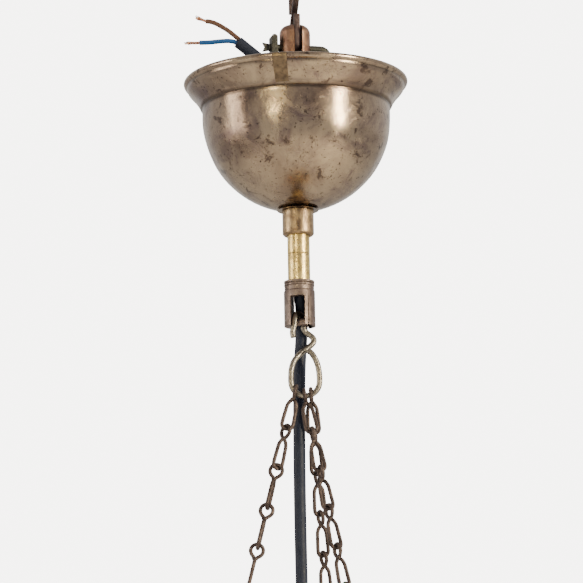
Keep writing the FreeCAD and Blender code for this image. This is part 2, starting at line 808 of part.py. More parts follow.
def link(pitch):
    """One link hanging from the origin: a round eye, and a long loop square to it."""
    eye = eye_middle()
    ring = []
    for step in range(6):
        angle = math.radians(30 + 60 * step)
        ring.append((0, math.sin(angle) * eye * 1.37, math.cos(angle) * eye * 1.37))
    half = eye
    neck, low = -size("link_neck").value, -(pitch - LOOP_END)
    loop = [(0, 0, neck + 0.4), (half, 0, neck - 3.2), (half, 0, low + 2.4),
            (1.7, 0, low), (-1.7, 0, low), (-half, 0, low + 2.4), (-half, 0, neck - 3.2)]
    eye_solid = mitred(ring, LINK_SECTION, 4, True)
    loop_solid = mitred(loop, LINK_SECTION, 4, True)
    return eye_solid.fuse(loop_solid)


def chain(name):
    """A chain of separate links from the wire hook to its eye hook."""
    start, down, pitch = chain_line(name)
    master = link(pitch)
    links = []
    for index in range(int(size("links_per_chain").value)):
        copy = master.copy()
        copy.Placement = Placement(start + down * (pitch * index), link_turn(name, index))
        links.append(copy)
    return shaped(name, Part.makeCompound(links))


# --- bowl, its eye hooks, washers and nuts ------------------------------------------

hook_middle = hook_eye_top - size("eye_hook_radius").value
upper_nut_top = hook_middle - size("eye_hook_radius").value - size("eye_hook_neck").value
lip_top = upper_nut_top - size("hook_nut_height").value - size("washer_thickness").value
lip_bottom = lip_top - size("lip_thickness").value
rod_end = lip_bottom - size("washer_thickness").value - size("hook_nut_height").value - 2.5


def hook_spots():
    """Each eye hook's place on the lip and the turn that faces its last link."""
    for name, (x, azimuth, roll, most) in CHAINS.items():
        across = link_turn(name, int(size("links_per_chain").value) - 1).multVec(Vector(1, 0, 0))
        turn = math.degrees(math.atan2(across.y, across.x))
        yield polar(hook_circle.value, azimuth), turn


def on_hooks(name, make):
    """One node of three equal solids, one at each eye hook."""
    copies = []
    for place, turn in hook_spots():
        copy = make()
        copy.Placement = Placement(place, Rotation(Vector(0, 0, 1), turn))
        copies.append(copy)
    return shaped(name, Part.makeCompound(copies))


def eye_hook():
    """Closed eye on a straight threaded rod."""
    radius, wire = size("eye_hook_radius").value, size("eye_hook_wire").value / 2
    ring = []
    for step in range(12):
        angle = math.radians(15 + 30 * step)
        ring.append((0, radius * 1.01 * math.cos(angle), hook_middle + radius * 1.01 * math.sin(angle)))
    eye = mitred(ring, wire * math.cos(math.pi / 8), 8, True)
    rod = prism(wire, 10, hook_middle - radius - rod_end, rod_end)
    return eye.fuse(rod).removeSplitter()


def bored(plate, height, z):
    """A plate with a hole that clears an eye hook's rod."""
    clear = (size("eye_hook_wire").value / 2 + size("hole_gap").value) / math.cos(math.pi / 10)
    return plate.cut(prism(clear, 10, height + 2, z - 1))


def washers():
    """The washers above and below the lip at one hook."""
    thick = size("washer_thickness").value
    radius = size("washer_diameter").value / 2
    return Part.makeCompound([bored(prism(radius, 24, thick, z), thick, z)
                              for z in (lip_top, lip_bottom - thick)])


def hook_nuts():
    """The nuts above and below the lip at one hook."""
    thick = size("hook_nut_height").value
    corner = size("hook_nut_width").value / 2 / math.cos(math.pi / 6)
    low = lip_bottom - size("washer_thickness").value - thick
    return Part.makeCompound([bored(prism(corner, 6, thick, z), thick, z)
                              for z in (upper_nut_top - thick, low)])


BOWL_BANDS = 7


def alabaster_bowl():
    """Turned stone bowl: flat lip with three holes, and a rounded body below it."""
    lip = size("bowl_diameter") / 2
    body = lip - size("bowl_lip_width")
    wall, thick = size("bowl_wall"), size("lip_thickness")
    deep = size("bowl_depth")
    outer = []
    inner = []
    for step in range(BOWL_BANDS + 1):
        angle = math.radians(90 * step / BOWL_BANDS)
        outer.append((body * math.sin(angle), (deep - thick) * (1 - math.cos(angle))))
        inner.append(((body - wall) * math.sin(angle), deep - (deep - wall) * math.cos(angle)))
    outer[:2] = [(ZERO, ZERO), (outer[1][0], ZERO)]
    inner[:2] = [(ZERO, wall), (inner[1][0], wall)]
    outline = outer + [(lip - 1.5, deep - thick), (lip, deep - thick + 1.5), (lip, deep - 1.5),
                       (lip - 1.5, deep)] + inner[::-1]
    blank = banded("bowl_blank", outline, -deep + lip_top, 72)
    holes = []
    for index, (place, turn) in enumerate(hook_spots()):
        hole = Part.makeCylinder(size("lip_hole").value / 2, 4 * thick.value,
                                 place + Vector(0, 0, lip_bottom - thick.value))
        holes.append(shaped("lip_hole_%d" % index, hole))
    return cut("alabaster_bowl", blank, holes)


# --- lampholder -------------------------------------------------------------------

mouth = lip_top + size("holder_above_bowl").value
body_top = size("body_height") + mouth
cap_top = body_top + size("cap_height")
grip_top = cap_top + size("grip_height")


def cord_grip():
    """Screwed gland that holds the flex on top of the lampholder."""
    bore, radius = size("flex_diameter") / 2 + size("hole_gap"), size("grip_diameter") / 2
    height = size("grip_height")
    outline = [(bore, ZERO), (radius, ZERO), (radius, height * 0.45), (radius * 0.8, height * 0.45),
               (radius * 0.8, height), (bore, height)]
    return turned("cord_grip", outline, cap_top)


def holder_cap():
    """Thin round cap over the lampholder's terminals, with a hole for the flex."""
    radius, wall = size("cap_diameter") / 2, size("cap_wall")
    height = size("cap_height")
    bore = size("flex_diameter") / 2 + size("cap_wall")
    outline = [(radius, ZERO)]
    inside = [(radius - wall, ZERO)]
    for step in range(5):
        angle = math.radians(18 + 72 * step / 4)
        lean, rise = math.cos(angle), math.sin(angle)
        outline.append((radius * lean + radius * 0.05 * rise, height * 0.3 + height * 0.7 * rise))
        inside.append(((radius - wall) * lean + radius * 0.05 * rise,
                       height * 0.3 + (height * 0.7 - wall) * rise))
    outline[-1], inside[-1] = (bore, height), (bore, height - wall)
    return banded("holder_cap", outline + inside[::-1], body_top, 40)


def holder_body():
    """Sleeve of the lampholder, with an inner ledge at its mouth."""
    radius, wall = size("body_diameter") / 2, size("body_wall")
    inner, height = radius - wall, size("body_height")
    ledge = size("socket_diameter") / 2 + 1
    outline = [(ledge, ZERO), (radius, ZERO), (radius, height), (inner, height),
               (inner, size("insert_floor")), (ledge, size("insert_floor"))]
    return banded("holder_body", outline, ZERO + mouth, 40)


def holder_insert():
    """Ceramic insert with the lamp's socket, open downwards."""
    radius, bore = size("insert_diameter") / 2, size("socket_diameter") / 2
    deep, recess = size("socket_length"), size("contact_height")
    pocket = size("contact_recess") / 2
    top = deep + size("insert_floor")
    outline = [(bore, ZERO), (radius, ZERO), (radius, top - 0.1), (ZERO, top - 0.1),
               (ZERO, deep + recess), (pocket, deep + recess), (pocket, deep), (bore, deep)]
    return turned("holder_insert", outline, size("insert_floor") + mouth)


def holder_contacts():
    """Middle contact and side contact, set into the floor of the socket."""
    end = mouth + (size("insert_floor") + size("socket_length") + size("hole_gap")).value
    high = (size("contact_height") - size("hole_gap")).value
    middle = Part.makeCylinder(size("contact_diameter").value / 2, high, Vector(0, 0, end))
    side = Part.makeBox(2.6, 4.0, high, Vector(7.2, -2.0, end))
    return shaped("holder_contacts", Part.makeCompound([middle, side]))


def shade_ring():
    """Screw ring round the lampholder's sleeve."""
    clear = size("thread_gap").value * 2
    bore, radius = size("body_diameter") / 2 + clear, size("shade_ring_diameter") / 2
    height = size("shade_ring_height")
    outline = [(bore, ZERO), (radius, ZERO), (radius, height * 0.6), (radius - 1.6, height * 0.6),
               (radius - 1.6, height), (bore, height)]
    return banded("shade_ring", outline, size("body_height") * 0.5 + mouth, 40)


# --- flex ----------------------------------------------------------------------------

def below_rim(points):
    """Points given from the rim's plane, in the part's own heights."""
    return [(x, y, z + rim_z.value) for x, y, z in points]


TAIL = below_rim([(0, 0, -20), (0, 0, -4.9), (-14.0, -1.4, 8.0), (-29.3, -3.0, 20.6)])
BEND = below_rim([(0, 0, -100.6), (0, 0, -110.5), (1.4, 9.5, -124.6)])
LOW_BEND = below_rim([(-1.0, 8.8, -153.0)])
DROP = below_rim([(-1.6, 8.0, -208.0)])


def between(low, high, share):
    """A point on the straight line between two others."""
    return tuple(a + (b - a) * share for a, b in zip(low, high))


FIRST_SPLIT = between(BEND[-1], LOW_BEND[0], 0.507)
SECOND_SPLIT = between(LOW_BEND[0], DROP[0], 0.45)


def flex_pieces():
    """The flex in lengths that meet on straight runs, and the length inside the tube."""
    width = size("flex_diameter").value
    lowest = cap_top.value - 6
    drop = [SECOND_SPLIT, DROP[0], (-0.3, 1.0, grip_top.value + 48), (0, 0, grip_top.value + 20), (0, 0, lowest)]
    return [
        flex("cable_tail", width, TAIL),
        flex("cable_in_stem", width, [TAIL[0], BEND[0]]),
        flex("cable_bend", width, BEND + [FIRST_SPLIT]),
        flex("cable_cross", width, [FIRST_SPLIT, LOW_BEND[0], SECOND_SPLIT]),
        flex("cable_drop", width, drop),
    ]


def flex_ends():
    """Two insulated cores that leave the sheath, with frayed bare strands."""
    core, strand = size("core_diameter").value, size("strand_diameter").value
    blue = below_rim([(-29.95, -3.1, 19.85), (-32.9, -3.4, 22.3), (-38.5, -3.6, 20.9), (-49.2, -3.8, 20.4)])
    brown = below_rim([(-28.45, -2.91, 21.72), (-32.0, -3.3, 24.6), (-40.6, -3.7, 31.2), (-45.8, -3.8, 31.9)])
    return [
        flex("core_blue", core, blue, 8),
        flex("core_brown", core, brown, 8),
        flex("strands_blue", strand, below_rim([(-49.3, -3.8, 20.4), (-57.7, -3.9, 20.1)]), 6),
        flex("strands_brown", strand, below_rim([(-46.15, -3.8, 31.95), (-51.4, -3.9, 34.6)]), 6),
    ]


# --- all pieces -------------------------------------------------------------------------

print("heights", {k: round(plain(v), 2) for k, v in (
    ("pin", pin_z), ("rim", rim_z), ("bar", bar_z), ("hook_eye", hook_middle), ("lip", lip_top),
    ("mouth", mouth), ("cap_top", cap_top), ("grip_top", grip_top))})

pieces = [hanger_hook(), top_fork(), cross_pin(), pin_tab()]
pieces += [
    tube("stem_tube", size("tube_diameter"), size("tube_bore"), tube_bottom, tube_top),
    stem_nut(),
    tube("upper_sleeve", size("sleeve_diameter"), size("tube_diameter") + size("thread_gap") * 2,
         sleeve_seam, sleeve_top),
    tube("lower_sleeve", size("sleeve_diameter"), size("tube_diameter") + size("thread_gap") * 2,
         ring_top, sleeve_seam),
    ceiling_cup(), rim_patch(), cup_collar(), collar_screw(), lock_ring(), lower_yoke(), s_hook(),
]
pieces += [chain(name) for name in CHAINS]
pieces += [on_hooks("bowl_hooks", eye_hook), on_hooks("hook_washers", washers),
           on_hooks("hook_nuts", hook_nuts), alabaster_bowl()]
pieces += [cord_grip(), holder_cap(), holder_body(), holder_insert(), holder_contacts(), shade_ring()]
pieces += flex_pieces() + flex_ends()

doc.recompute()

for made in doc.Objects:
    if "Invalid" in made.State or "Error" in made.State:
        raise ValueError("not built: " + made.Label)

os.makedirs("parts", exist_ok=True)
for piece in pieces:
    form = piece.Shape
    if form.isNull() or not form.isValid() or form.Volume <= 0:
        raise ValueError("not a valid solid: " + piece.Label)
    form.exportStep("parts/%s.step" % piece.Label)

print("pieces", len(pieces))
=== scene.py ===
"""Alabaster bowl pendant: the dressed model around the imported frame."""

import math
import random

import bpy
from mathutils import Matrix, Vector


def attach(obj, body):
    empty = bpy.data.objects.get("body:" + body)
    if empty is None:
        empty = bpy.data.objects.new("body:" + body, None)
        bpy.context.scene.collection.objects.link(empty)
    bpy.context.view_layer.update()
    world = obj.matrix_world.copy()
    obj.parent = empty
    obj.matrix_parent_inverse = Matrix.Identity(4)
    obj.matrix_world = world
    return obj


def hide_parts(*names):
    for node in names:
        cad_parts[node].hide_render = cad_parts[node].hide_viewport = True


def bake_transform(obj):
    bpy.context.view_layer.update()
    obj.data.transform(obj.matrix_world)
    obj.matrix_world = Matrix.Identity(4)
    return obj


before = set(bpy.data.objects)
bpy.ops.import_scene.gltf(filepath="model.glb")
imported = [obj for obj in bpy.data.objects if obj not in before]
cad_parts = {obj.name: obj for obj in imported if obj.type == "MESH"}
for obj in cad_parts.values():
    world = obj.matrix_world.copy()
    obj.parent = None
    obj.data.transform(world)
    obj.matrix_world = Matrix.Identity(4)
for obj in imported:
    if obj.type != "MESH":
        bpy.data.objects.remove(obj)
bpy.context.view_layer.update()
random.seed(7)

# Lengths are in millimetres, and MM turns them into metres. Angles are in degrees.
# Z is 0 at the middle of the hanging hook's upper loop, and the camera stands on the -Y side.
MM = 0.001
RIM, PIN, BAR = -52.4, -35.0, -178.9
FORK_TURN, YOKE_TURN = 14.0, -8.5


# --- camera ---

CAMERA_PLACE = (-4.0, -1600.0, RIM - 440.0)
CAMERA_TILT = 11.63
CAMERA_ROLL = 1.0
CAMERA_VIEW = 10.38

lens = bpy.data.cameras.new("camera")
lens.angle = math.radians(CAMERA_VIEW)
lens.clip_start = 0.05
lens.clip_end = 50
camera = bpy.data.objects.new("camera", lens)
bpy.context.scene.collection.objects.link(camera)
camera.location = Vector(CAMERA_PLACE) * MM
aim = (Matrix.Rotation(math.radians(90 + CAMERA_TILT), 3, "X")
       @ Matrix.Rotation(math.radians(-CAMERA_ROLL), 3, "Z"))
camera.rotation_euler = aim.to_euler()
bpy.context.scene.camera = camera


# --- materials ---

def new_material(name):
    """A material with its node tree, output and shader."""
    material = bpy.data.materials.new(name)
    material.use_nodes = True
    shader = material.node_tree.nodes["Principled BSDF"]
    return material, material.node_tree, shader


def place_of(tree):
    """Object coordinates, which are the row frame in metres."""
    return tree.nodes.new("ShaderNodeTexCoord").outputs["Object"]


def noise(tree, place, scale, detail=4.0, rough=0.55, warp=0.0):
    node = tree.nodes.new("ShaderNodeTexNoise")
    node.inputs["Scale"].default_value = scale
    node.inputs["Detail"].default_value = detail
    node.inputs["Roughness"].default_value = rough
    node.inputs["Distortion"].default_value = warp
    tree.links.new(place, node.inputs["Vector"])
    return node.outputs["Fac"]


def ramp(tree, factor, stops):
    """A colour ramp: stops are (position, colour or grey)."""
    node = tree.nodes.new("ShaderNodeValToRGB")
    elements = node.color_ramp.elements
    while len(elements) < len(stops):
        elements.new(0.5)
    for element, (position, colour) in zip(elements, stops):
        element.position = position
        shade = (colour,) * 3 if isinstance(colour, float) else colour
        element.color = (*shade, 1)
    tree.links.new(factor, node.inputs["Fac"])
    return node.outputs["Color"]


def mixed(tree, factor, low, high):
    """Mixes two colours or colour outputs by a factor output or number."""
    node = tree.nodes.new("ShaderNodeMix")
    node.data_type = "RGBA"
    for socket, value in ((node.inputs[0], factor), (node.inputs[6], low), (node.inputs[7], high)):
        if hasattr(value, "links"):
            tree.links.new(value, socket)
        elif isinstance(value, (int, float)):
            socket.default_value = value
        else:
            socket.default_value = (*value, 1)
    return node.outputs[2]


def bump(tree, shader, height, strength, depth):
    """Roughens the surface by a height output; depth is in metres."""
    node = tree.nodes.new("ShaderNodeBump")
    node.inputs["Strength"].default_value = strength
    node.inputs["Distance"].default_value = depth
    tree.links.new(height, node.inputs["Height"])
    tree.links.new(node.outputs["Normal"], shader.inputs["Normal"])


def stretched(tree, place, scale):
    node = tree.nodes.new("ShaderNodeMapping")
    node.inputs["Scale"].default_value = scale
    tree.links.new(place, node.inputs["Vector"])
    return node.outputs["Vector"]


def metal(name, tones, spots, rough, scale=60.0, grain=900.0, dent=0.25, metallic=1.0, fleck=0.35):
    """Worn metal: tones drift over the surface, spots darken it, roughness follows."""
    material, tree, shader = new_material(name)
    place = place_of(tree)
    drift = ramp(tree, noise(tree, place, scale, 5, 0.6, 0.6), list(zip((0.32, 0.5, 0.68), tones)))
    fine = noise(tree, place, grain * 0.45, 4, 0.65, 0.3)
    specks = ramp(tree, fine, [(0.34, 1.0), (0.44, 0.0)])
    tinted = tree.nodes.new("ShaderNodeMath")
    tinted.operation = "MULTIPLY"
    tinted.inputs[1].default_value = fleck
    tree.links.new(specks, tinted.inputs[0])
    colour = mixed(tree, tinted.outputs[0], drift, spots)
    tree.links.new(colour, shader.inputs["Base Color"])
    shader.inputs["Metallic"].default_value = metallic
    blur = ramp(tree, noise(tree, place, scale * 1.7, 5, 0.6), [(0.3, rough[0]), (0.7, rough[1])])
    tree.links.new(blur, shader.inputs["Roughness"])
    bump(tree, shader, noise(tree, place, grain, 3, 0.6), strength=dent, depth=0.0004)
    return material


def plastic(name, colour, rough, grain=1500.0, spread=0.25, strength=0.12, gloss=0.5):
    """Moulded plastic with faint unevenness in colour, gloss and surface."""
    material, tree, shader = new_material(name)
    place = place_of(tree)
    darker = tuple(c * (1 - spread) for c in colour)
    lighter = tuple(min(1, c * (1 + spread)) for c in colour)
    tone = mixed(tree, noise(tree, place, 180, 3), darker, lighter)
    tree.links.new(tone, shader.inputs["Base Color"])
    blur = ramp(tree, noise(tree, place, 260, 3), [(0.3, rough[0]), (0.7, rough[1])])
    tree.links.new(blur, shader.inputs["Roughness"])
    shader.inputs["Specular IOR Level"].default_value = gloss
    bump(tree, shader, noise(tree, place, grain, 2), strength=strength, depth=0.0002)
    return material


def cup_brass():
    """Old lacquered brass: golden ground, brown blotches, pits, and painted shade in the creases
    and at the seat.
    """
    material, tree, shader = new_material("cup_brass")
    place = place_of(tree)
    ground = ramp(tree, noise(tree, place, 26, 6, 0.62, 1.2),
                  [(0.30, (0.18, 0.130, 0.105)), (0.46, (0.345, 0.265, 0.202)),
                   (0.60, (0.46, 0.363, 0.262)), (0.74, (0.28, 0.214, 0.190))])
    bloom = ramp(tree, noise(tree, place, 55, 6, 0.72, 0.9), [(0.50, 0.0), (0.68, 0.85)])
    veiled = mixed(tree, bloom, ground, (0.170, 0.122, 0.124))
    stains = ramp(tree, noise(tree, place, 120, 5, 0.72, 0.5), [(0.36, 0.85), (0.435, 0.0)])
    stained = mixed(tree, stains, veiled, (0.075, 0.052, 0.045))
    pits = ramp(tree, noise(tree, place, 620, 4, 0.7, 0.3), [(0.335, 1.0), (0.385, 0.0)])
    spotted = mixed(tree, pits, stained, (0.03, 0.022, 0.02))
    parts = tree.nodes.new("ShaderNodeSeparateXYZ")
    tree.links.new(place, parts.inputs[0])
    low, high = -70.0, 1.0
    rise = tree.nodes.new("ShaderNodeMapRange")
    rise.inputs["From Min"].default_value = (RIM + low) * MM
    rise.inputs["From Max"].default_value = (RIM + high) * MM
    tree.links.new(parts.outputs["Z"], rise.inputs["Value"])
    # Painted shade: dark bands at the seat, at the step under the flare and under the bead.
    shade_bands = [(-68.0, 0.35), (-63.0, 0.0), (-16.6, 0.0), (-15.4, 0.8), (-14.5, 0.7), (-13.2, 0.0),
             (-4.4, 0.0), (-3.6, 0.7), (-3.0, 0.0)]
    crease_shade = ramp(tree, rise.outputs["Result"],
                 [((z - low) / (high - low), shade) for z, shade in shade_bands])
    # Lays the painted crease shade over the brass colour.
    shaded_brass = mixed(tree, crease_shade, spotted, (0.045, 0.032, 0.028))
    tree.links.new(shaded_brass, shader.inputs["Base Color"])
    shader.inputs["Metallic"].default_value = 1.0
    blur = ramp(tree, noise(tree, place, 70, 6, 0.65, 0.8),
                [(0.32, 0.15), (0.55, 0.22), (0.72, 0.42)])
    tree.links.new(blur, shader.inputs["Roughness"])
    waves = noise(tree, place, 34, 2, 0.5)
    grit = noise(tree, place, 700, 4, 0.7)
    both = tree.nodes.new("ShaderNodeMath")
    both.operation = "MULTIPLY_ADD"
    both.inputs[1].default_value = 0.06
    tree.links.new(grit, both.inputs[0])
    tree.links.new(waves, both.inputs[2])
    bump(tree, shader, both.outputs[0], strength=0.35, depth=0.0022)
    return material


def alabaster():
    """Honed stone: warm clouds, brown and grey veins, light passing into it."""
    material, tree, shader = new_material("alabaster")
    place = place_of(tree)
    clouds = ramp(tree, noise(tree, place, 11, 6, 0.6, 1.6),
                  [(0.30, (0.58, 0.43, 0.27)), (0.5, (0.80, 0.69, 0.52)),
                   (0.7, (0.90, 0.85, 0.74))])
    vein = tree.nodes.new("ShaderNodeTexNoise")
    vein.inputs["Scale"].default_value = 7
    vein.inputs["Detail"].default_value = 8
    vein.inputs["Distortion"].default_value = 2.6
    tree.links.new(stretched(tree, place, (1, 1, 2.2)), vein.inputs["Vector"])
    lines = ramp(tree, vein.outputs["Fac"], [(0.47, 0.0), (0.50, 1.0), (0.53, 0.0)])
    colour = mixed(tree, lines, clouds, (0.42, 0.24, 0.12))
    tree.links.new(colour, shader.inputs["Base Color"])
    blur = ramp(tree, noise(tree, place, 40, 5), [(0.3, 0.22), (0.7, 0.38)])
    tree.links.new(blur, shader.inputs["Roughness"])
    shader.inputs["Subsurface Weight"].default_value = 0.35
    shader.inputs["Subsurface Radius"].default_value = (0.012, 0.008, 0.005)
    shader.inputs["Subsurface Scale"].default_value = 1.0
    bump(tree, shader, noise(tree, place, 260, 5), strength=0.15, depth=0.0006)
    return material


MATERIALS = {
    "aged_brass": cup_brass(),
    "collar_brass": metal("collar_brass", [(0.13, 0.09, 0.065), (0.31, 0.22, 0.14),
                                           (0.46, 0.34, 0.20)],
                          (0.04, 0.03, 0.026), (0.24, 0.44), scale=190, grain=900, dent=0.4),
    "steel": metal("strap_steel", [(0.035, 0.026, 0.027), (0.075, 0.056, 0.058),
                                   (0.12, 0.09, 0.092)],
                   (0.02, 0.015, 0.015), (0.4, 0.56), scale=190, grain=1100, dent=0.4),
    "coppery_brass": metal("fork_brass", [(0.14, 0.075, 0.055), (0.27, 0.155, 0.11),
                                          (0.38, 0.24, 0.17)],
                           (0.05, 0.032, 0.028), (0.3, 0.5), scale=150, grain=1000, dent=0.35),
    "yoke_brass": metal("yoke_brass", [(0.112, 0.086, 0.080), (0.205, 0.160, 0.148),
                                       (0.30, 0.238, 0.22)],
                        (0.035, 0.026, 0.025), (0.38, 0.56), scale=150, grain=1000, dent=0.35),
    "dark_steel": metal("pin_steel", [(0.028, 0.028, 0.026), (0.055, 0.055, 0.05),
                                      (0.09, 0.085, 0.075)],
                        (0.02, 0.018, 0.016), (0.4, 0.6), scale=220, grain=1200, dent=0.5,
                        metallic=0.8),
    "brass": metal("tube_brass", [(0.36, 0.25, 0.11), (0.55, 0.39, 0.18), (0.66, 0.49, 0.24)],
                   (0.12, 0.08, 0.04), (0.25, 0.4), scale=160, grain=900, dent=0.25),
    "polished_brass": metal("sleeve_brass", [(0.47, 0.33, 0.125), (0.73, 0.55, 0.22),
                                             (0.88, 0.70, 0.33)],
                            (0.22, 0.15, 0.07), (0.22, 0.36), scale=190, grain=800, dent=0.35,
                            fleck=0.75),
    "solder_strap": metal("patch_brass", [(0.10, 0.075, 0.055), (0.19, 0.14, 0.095),
                                          (0.30, 0.22, 0.14)],
                          (0.04, 0.03, 0.025), (0.3, 0.5), scale=160, grain=900, dent=0.4),
    "pale_steel": metal("hook_steel", [(0.15, 0.135, 0.118), (0.26, 0.238, 0.21),
                                       (0.36, 0.335, 0.30)],
                        (0.07, 0.055, 0.042), (0.28, 0.46), scale=240, grain=1000, dent=0.35),
    "chain_metal": metal("chain_iron", [(0.042, 0.031, 0.031), (0.082, 0.061, 0.060),
                                        (0.125, 0.096, 0.092)],
                         (0.018, 0.013, 0.013), (0.44, 0.64), scale=210, grain=1100, dent=0.5,
                         metallic=0.7),
    "alabaster": alabaster(),
    "holder_plastic": plastic("grip_plastic", (0.02, 0.02, 0.021), (0.25, 0.4)),
    "holder_brass": metal("holder_brass", [(0.44, 0.31, 0.13), (0.60, 0.44, 0.20),
                                           (0.70, 0.53, 0.27)],
                          (0.16, 0.1, 0.05), (0.22, 0.36), scale=90, grain=900, dent=0.2),
    "porcelain": plastic("porcelain", (0.80, 0.79, 0.75), (0.12, 0.2), grain=400.0, spread=0.04,
                         strength=0.05),
    "contact_metal": metal("contact_brass", [(0.58, 0.44, 0.22), (0.7, 0.55, 0.3),
                                             (0.78, 0.64, 0.38)],
                           (0.2, 0.14, 0.07), (0.2, 0.3), scale=200, grain=900, dent=0.2),
    "sheath": plastic("sheath", (0.014, 0.020, 0.044), (0.50, 0.64), grain=900.0, strength=0.03,
                      gloss=0.3),
    "blue_insulation": plastic("blue_core", (0.012, 0.085, 0.30), (0.3, 0.42)),
    "brown_insulation": plastic("brown_core", (0.115, 0.055, 0.035), (0.3, 0.42)),
    "copper": metal("strand_copper", [(0.52, 0.25, 0.17), (0.72, 0.40, 0.29), (0.82, 0.52, 0.40)],
                    (0.3, 0.14, 0.09), (0.22, 0.38), scale=300, grain=1500, dent=0.2),
}


# --- meshes ---

def add_piece(name, verts, faces, body, slot, material=None, stands_for=(), sharp=35.0):
    """A mesh given in millimetres, with its body, finish and the CAD nodes it stands for."""
    mesh = bpy.data.meshes.new(name)
    mesh.from_pydata([tuple(c * MM for c in v) for v in verts], [], faces)
    mesh.validate()
    piece = bpy.data.objects.new(name, mesh)
    bpy.context.scene.collection.objects.link(piece)
    finish_mesh(mesh, sharp)
    mesh.materials.append(MATERIALS[material or slot])
    if body:
        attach(piece, body)
    if stands_for:
        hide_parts(*stands_for)
    return piece


def finish_mesh(mesh, sharp):
    mesh.shade_smooth()
    mesh.set_sharp_from_angle(angle=math.radians(sharp))
    mesh.update()


def grid_faces(rows, columns, close_rows=False, close_columns=True):
    """Quads over a grid of vertices, row by row."""
    faces = []
    for row in range(rows if close_rows else rows - 1):
        after = (row + 1) % rows
        for column in range(columns if close_columns else columns - 1):
            beside = (column + 1) % columns
            faces.append((row * columns + column, row * columns + beside,
                          after * columns + beside, after * columns + column))
    return faces


def capped(rows, columns):
    """Quads over a tube of sections, with both ends closed."""
    faces = grid_faces(rows, columns)
    faces.append(tuple(range(columns - 1, -1, -1)))
    faces.append(tuple(range((rows - 1) * columns, rows * columns)))
    return faces


def slab(outline, half):
    """An outline of (x, z) given a thickness along Y, half to each side."""
    verts = [(x, y, z) for y in (-half, half) for x, z in outline]
    return verts, capped(2, len(outline))


def lathe(profile, steps=120, wobble=None):
    """A closed outline of (radius, height) turned about Z."""
    verts = []
    for radius, height in profile:
        for k in range(steps):
            angle = 2 * math.pi * k / steps
            far = radius + (wobble(angle, height) if wobble else 0)
            verts.append((far * math.cos(angle), far * math.sin(angle), height))
    return verts, grid_faces(len(profile), steps, close_rows=True)


def rounded(outline, radius, steps=4):
    """Rounds the corners of a closed outline of points in a plane."""
    done = []
    count = len(outline)
    for index, spot in enumerate(outline):
        corner = Vector(spot)
        before = Vector(outline[index - 1]) - corner
        after = Vector(outline[(index + 1) % count]) - corner
        reach = min(radius, before.length * 0.45, after.length * 0.45)
        start = corner + before.normalized() * reach
        end = corner + after.normalized() * reach
        for k in range(steps + 1):
            t = k / steps
            done.append(tuple(start * (1 - t) ** 2 + corner * (2 * t * (1 - t)) + end * t ** 2))
    return done


def through(points, per=6, closed=False):
    """A smooth line through given points."""
    spots = [Vector(p) for p in points]
    count = len(spots)
    line = []
    for index in range(count if closed else count - 1):
        if closed:
            a, b, c, d = (spots[(index + k) % count] for k in (-1, 0, 1, 2))
        else:
            a, b, c, d = (spots[min(max(index + k, 0), count - 1)] for k in (-1, 0, 1, 2))
        for k in range(per):
            t = k / per
            line.append(0.5 * ((2 * b) + (c - a) * t + (2 * a - 5 * b + 4 * c - d) * t ** 2
                               + (3 * b - a - 3 * c + d) * t ** 3))
    if not closed:
        line.append(spots[-1])
    return line


def tangents(line, closed):
    count = len(line)
    result = []
    for index in range(count):
        if closed:
            way = line[(index + 1) % count] - line[index - 1]
        else:
            way = line[min(index + 1, count - 1)] - line[max(index - 1, 0)]
        result.append(way.normalized())
    return result


def sweep(line, section, closed=False, up=(0, 0, 1)):
    """Carries a section of (across, up) points along a line without twisting it."""
    ways = tangents(line, closed)
    normal = Vector(up)
    normal = (normal - ways[0] * normal.dot(ways[0]))
    if normal.length < 1e-6:
        normal = ways[0].orthogonal()
    normal.normalize()
    normals = [normal]
    for before, after in zip(ways, ways[1:]):
        normal = before.rotation_difference(after) @ normals[-1]
        normals.append((normal - after * normal.dot(after)).normalized())
    twist = 0.0
    if closed:
        last = ways[-1].rotation_difference(ways[0]) @ normals[-1]
        twist = math.atan2(last.cross(normals[0]).dot(ways[0]), last.dot(normals[0]))
    verts = []
    count = len(line)
    for index, (spot, way, normal) in enumerate(zip(line, ways, normals)):
        turn = Matrix.Rotation(twist * index / count, 3, way)
        normal = turn @ normal
        across = way.cross(normal)
        for u, v in section:
            verts.append(tuple(spot + (across * u + normal * v)))
    if closed:
        return verts, grid_faces(count, len(section), close_rows=True)
    return verts, capped(count, len(section))


def circle(radius, sides=16):
    angles = [2 * math.pi * k / sides for k in range(sides)]
    return [(radius * math.cos(angle), radius * math.sin(angle)) for angle in angles]


def merged(*parts):
    """Several meshes as one list of vertices and faces."""
    verts, faces = [], []
    for some, more in parts:
        base = len(verts)
        verts += some
        faces += [tuple(i + base for i in face) for face in more]
    return verts, faces


def moved(part, matrix):
    verts, faces = part
    return [tuple(matrix @ Vector(v)) for v in verts], faces


def carved(piece, cutters):
    """Cuts closed meshes, given in millimetres, out of a piece."""
    helpers = []
    for index, (verts, faces) in enumerate(cutters):
        mesh = bpy.data.meshes.new("cutter")
        mesh.from_pydata([tuple(c * MM for c in v) for v in verts], [], faces)
        helper = bpy.data.objects.new("cutter_%d" % index, mesh)
        bpy.context.scene.collection.objects.link(helper)
        helpers.append(helper)
        cut = piece.modifiers.new("cut_%d" % index, "BOOLEAN")
        cut.operation = "DIFFERENCE"
        cut.solver = "EXACT"
        cut.object = helper
    bpy.context.view_layer.update()
    graph = bpy.context.evaluated_depsgraph_get()
    mesh = bpy.data.meshes.new_from_object(piece.evaluated_get(graph))
    piece.modifiers.clear()
    piece.data = mesh
    for helper in helpers:
        bpy.data.objects.remove(helper)


def softened(piece, width, segments=2, limit=40.0):
    """A small bevel on the hard edges, in millimetres."""
    bevel = piece.modifiers.new("edges", "BEVEL")
    bevel.width = width * MM
    bevel.segments = segments
    bevel.limit_method = "ANGLE"
    bevel.angle_limit = math.radians(limit)
    bevel.harden_normals = False


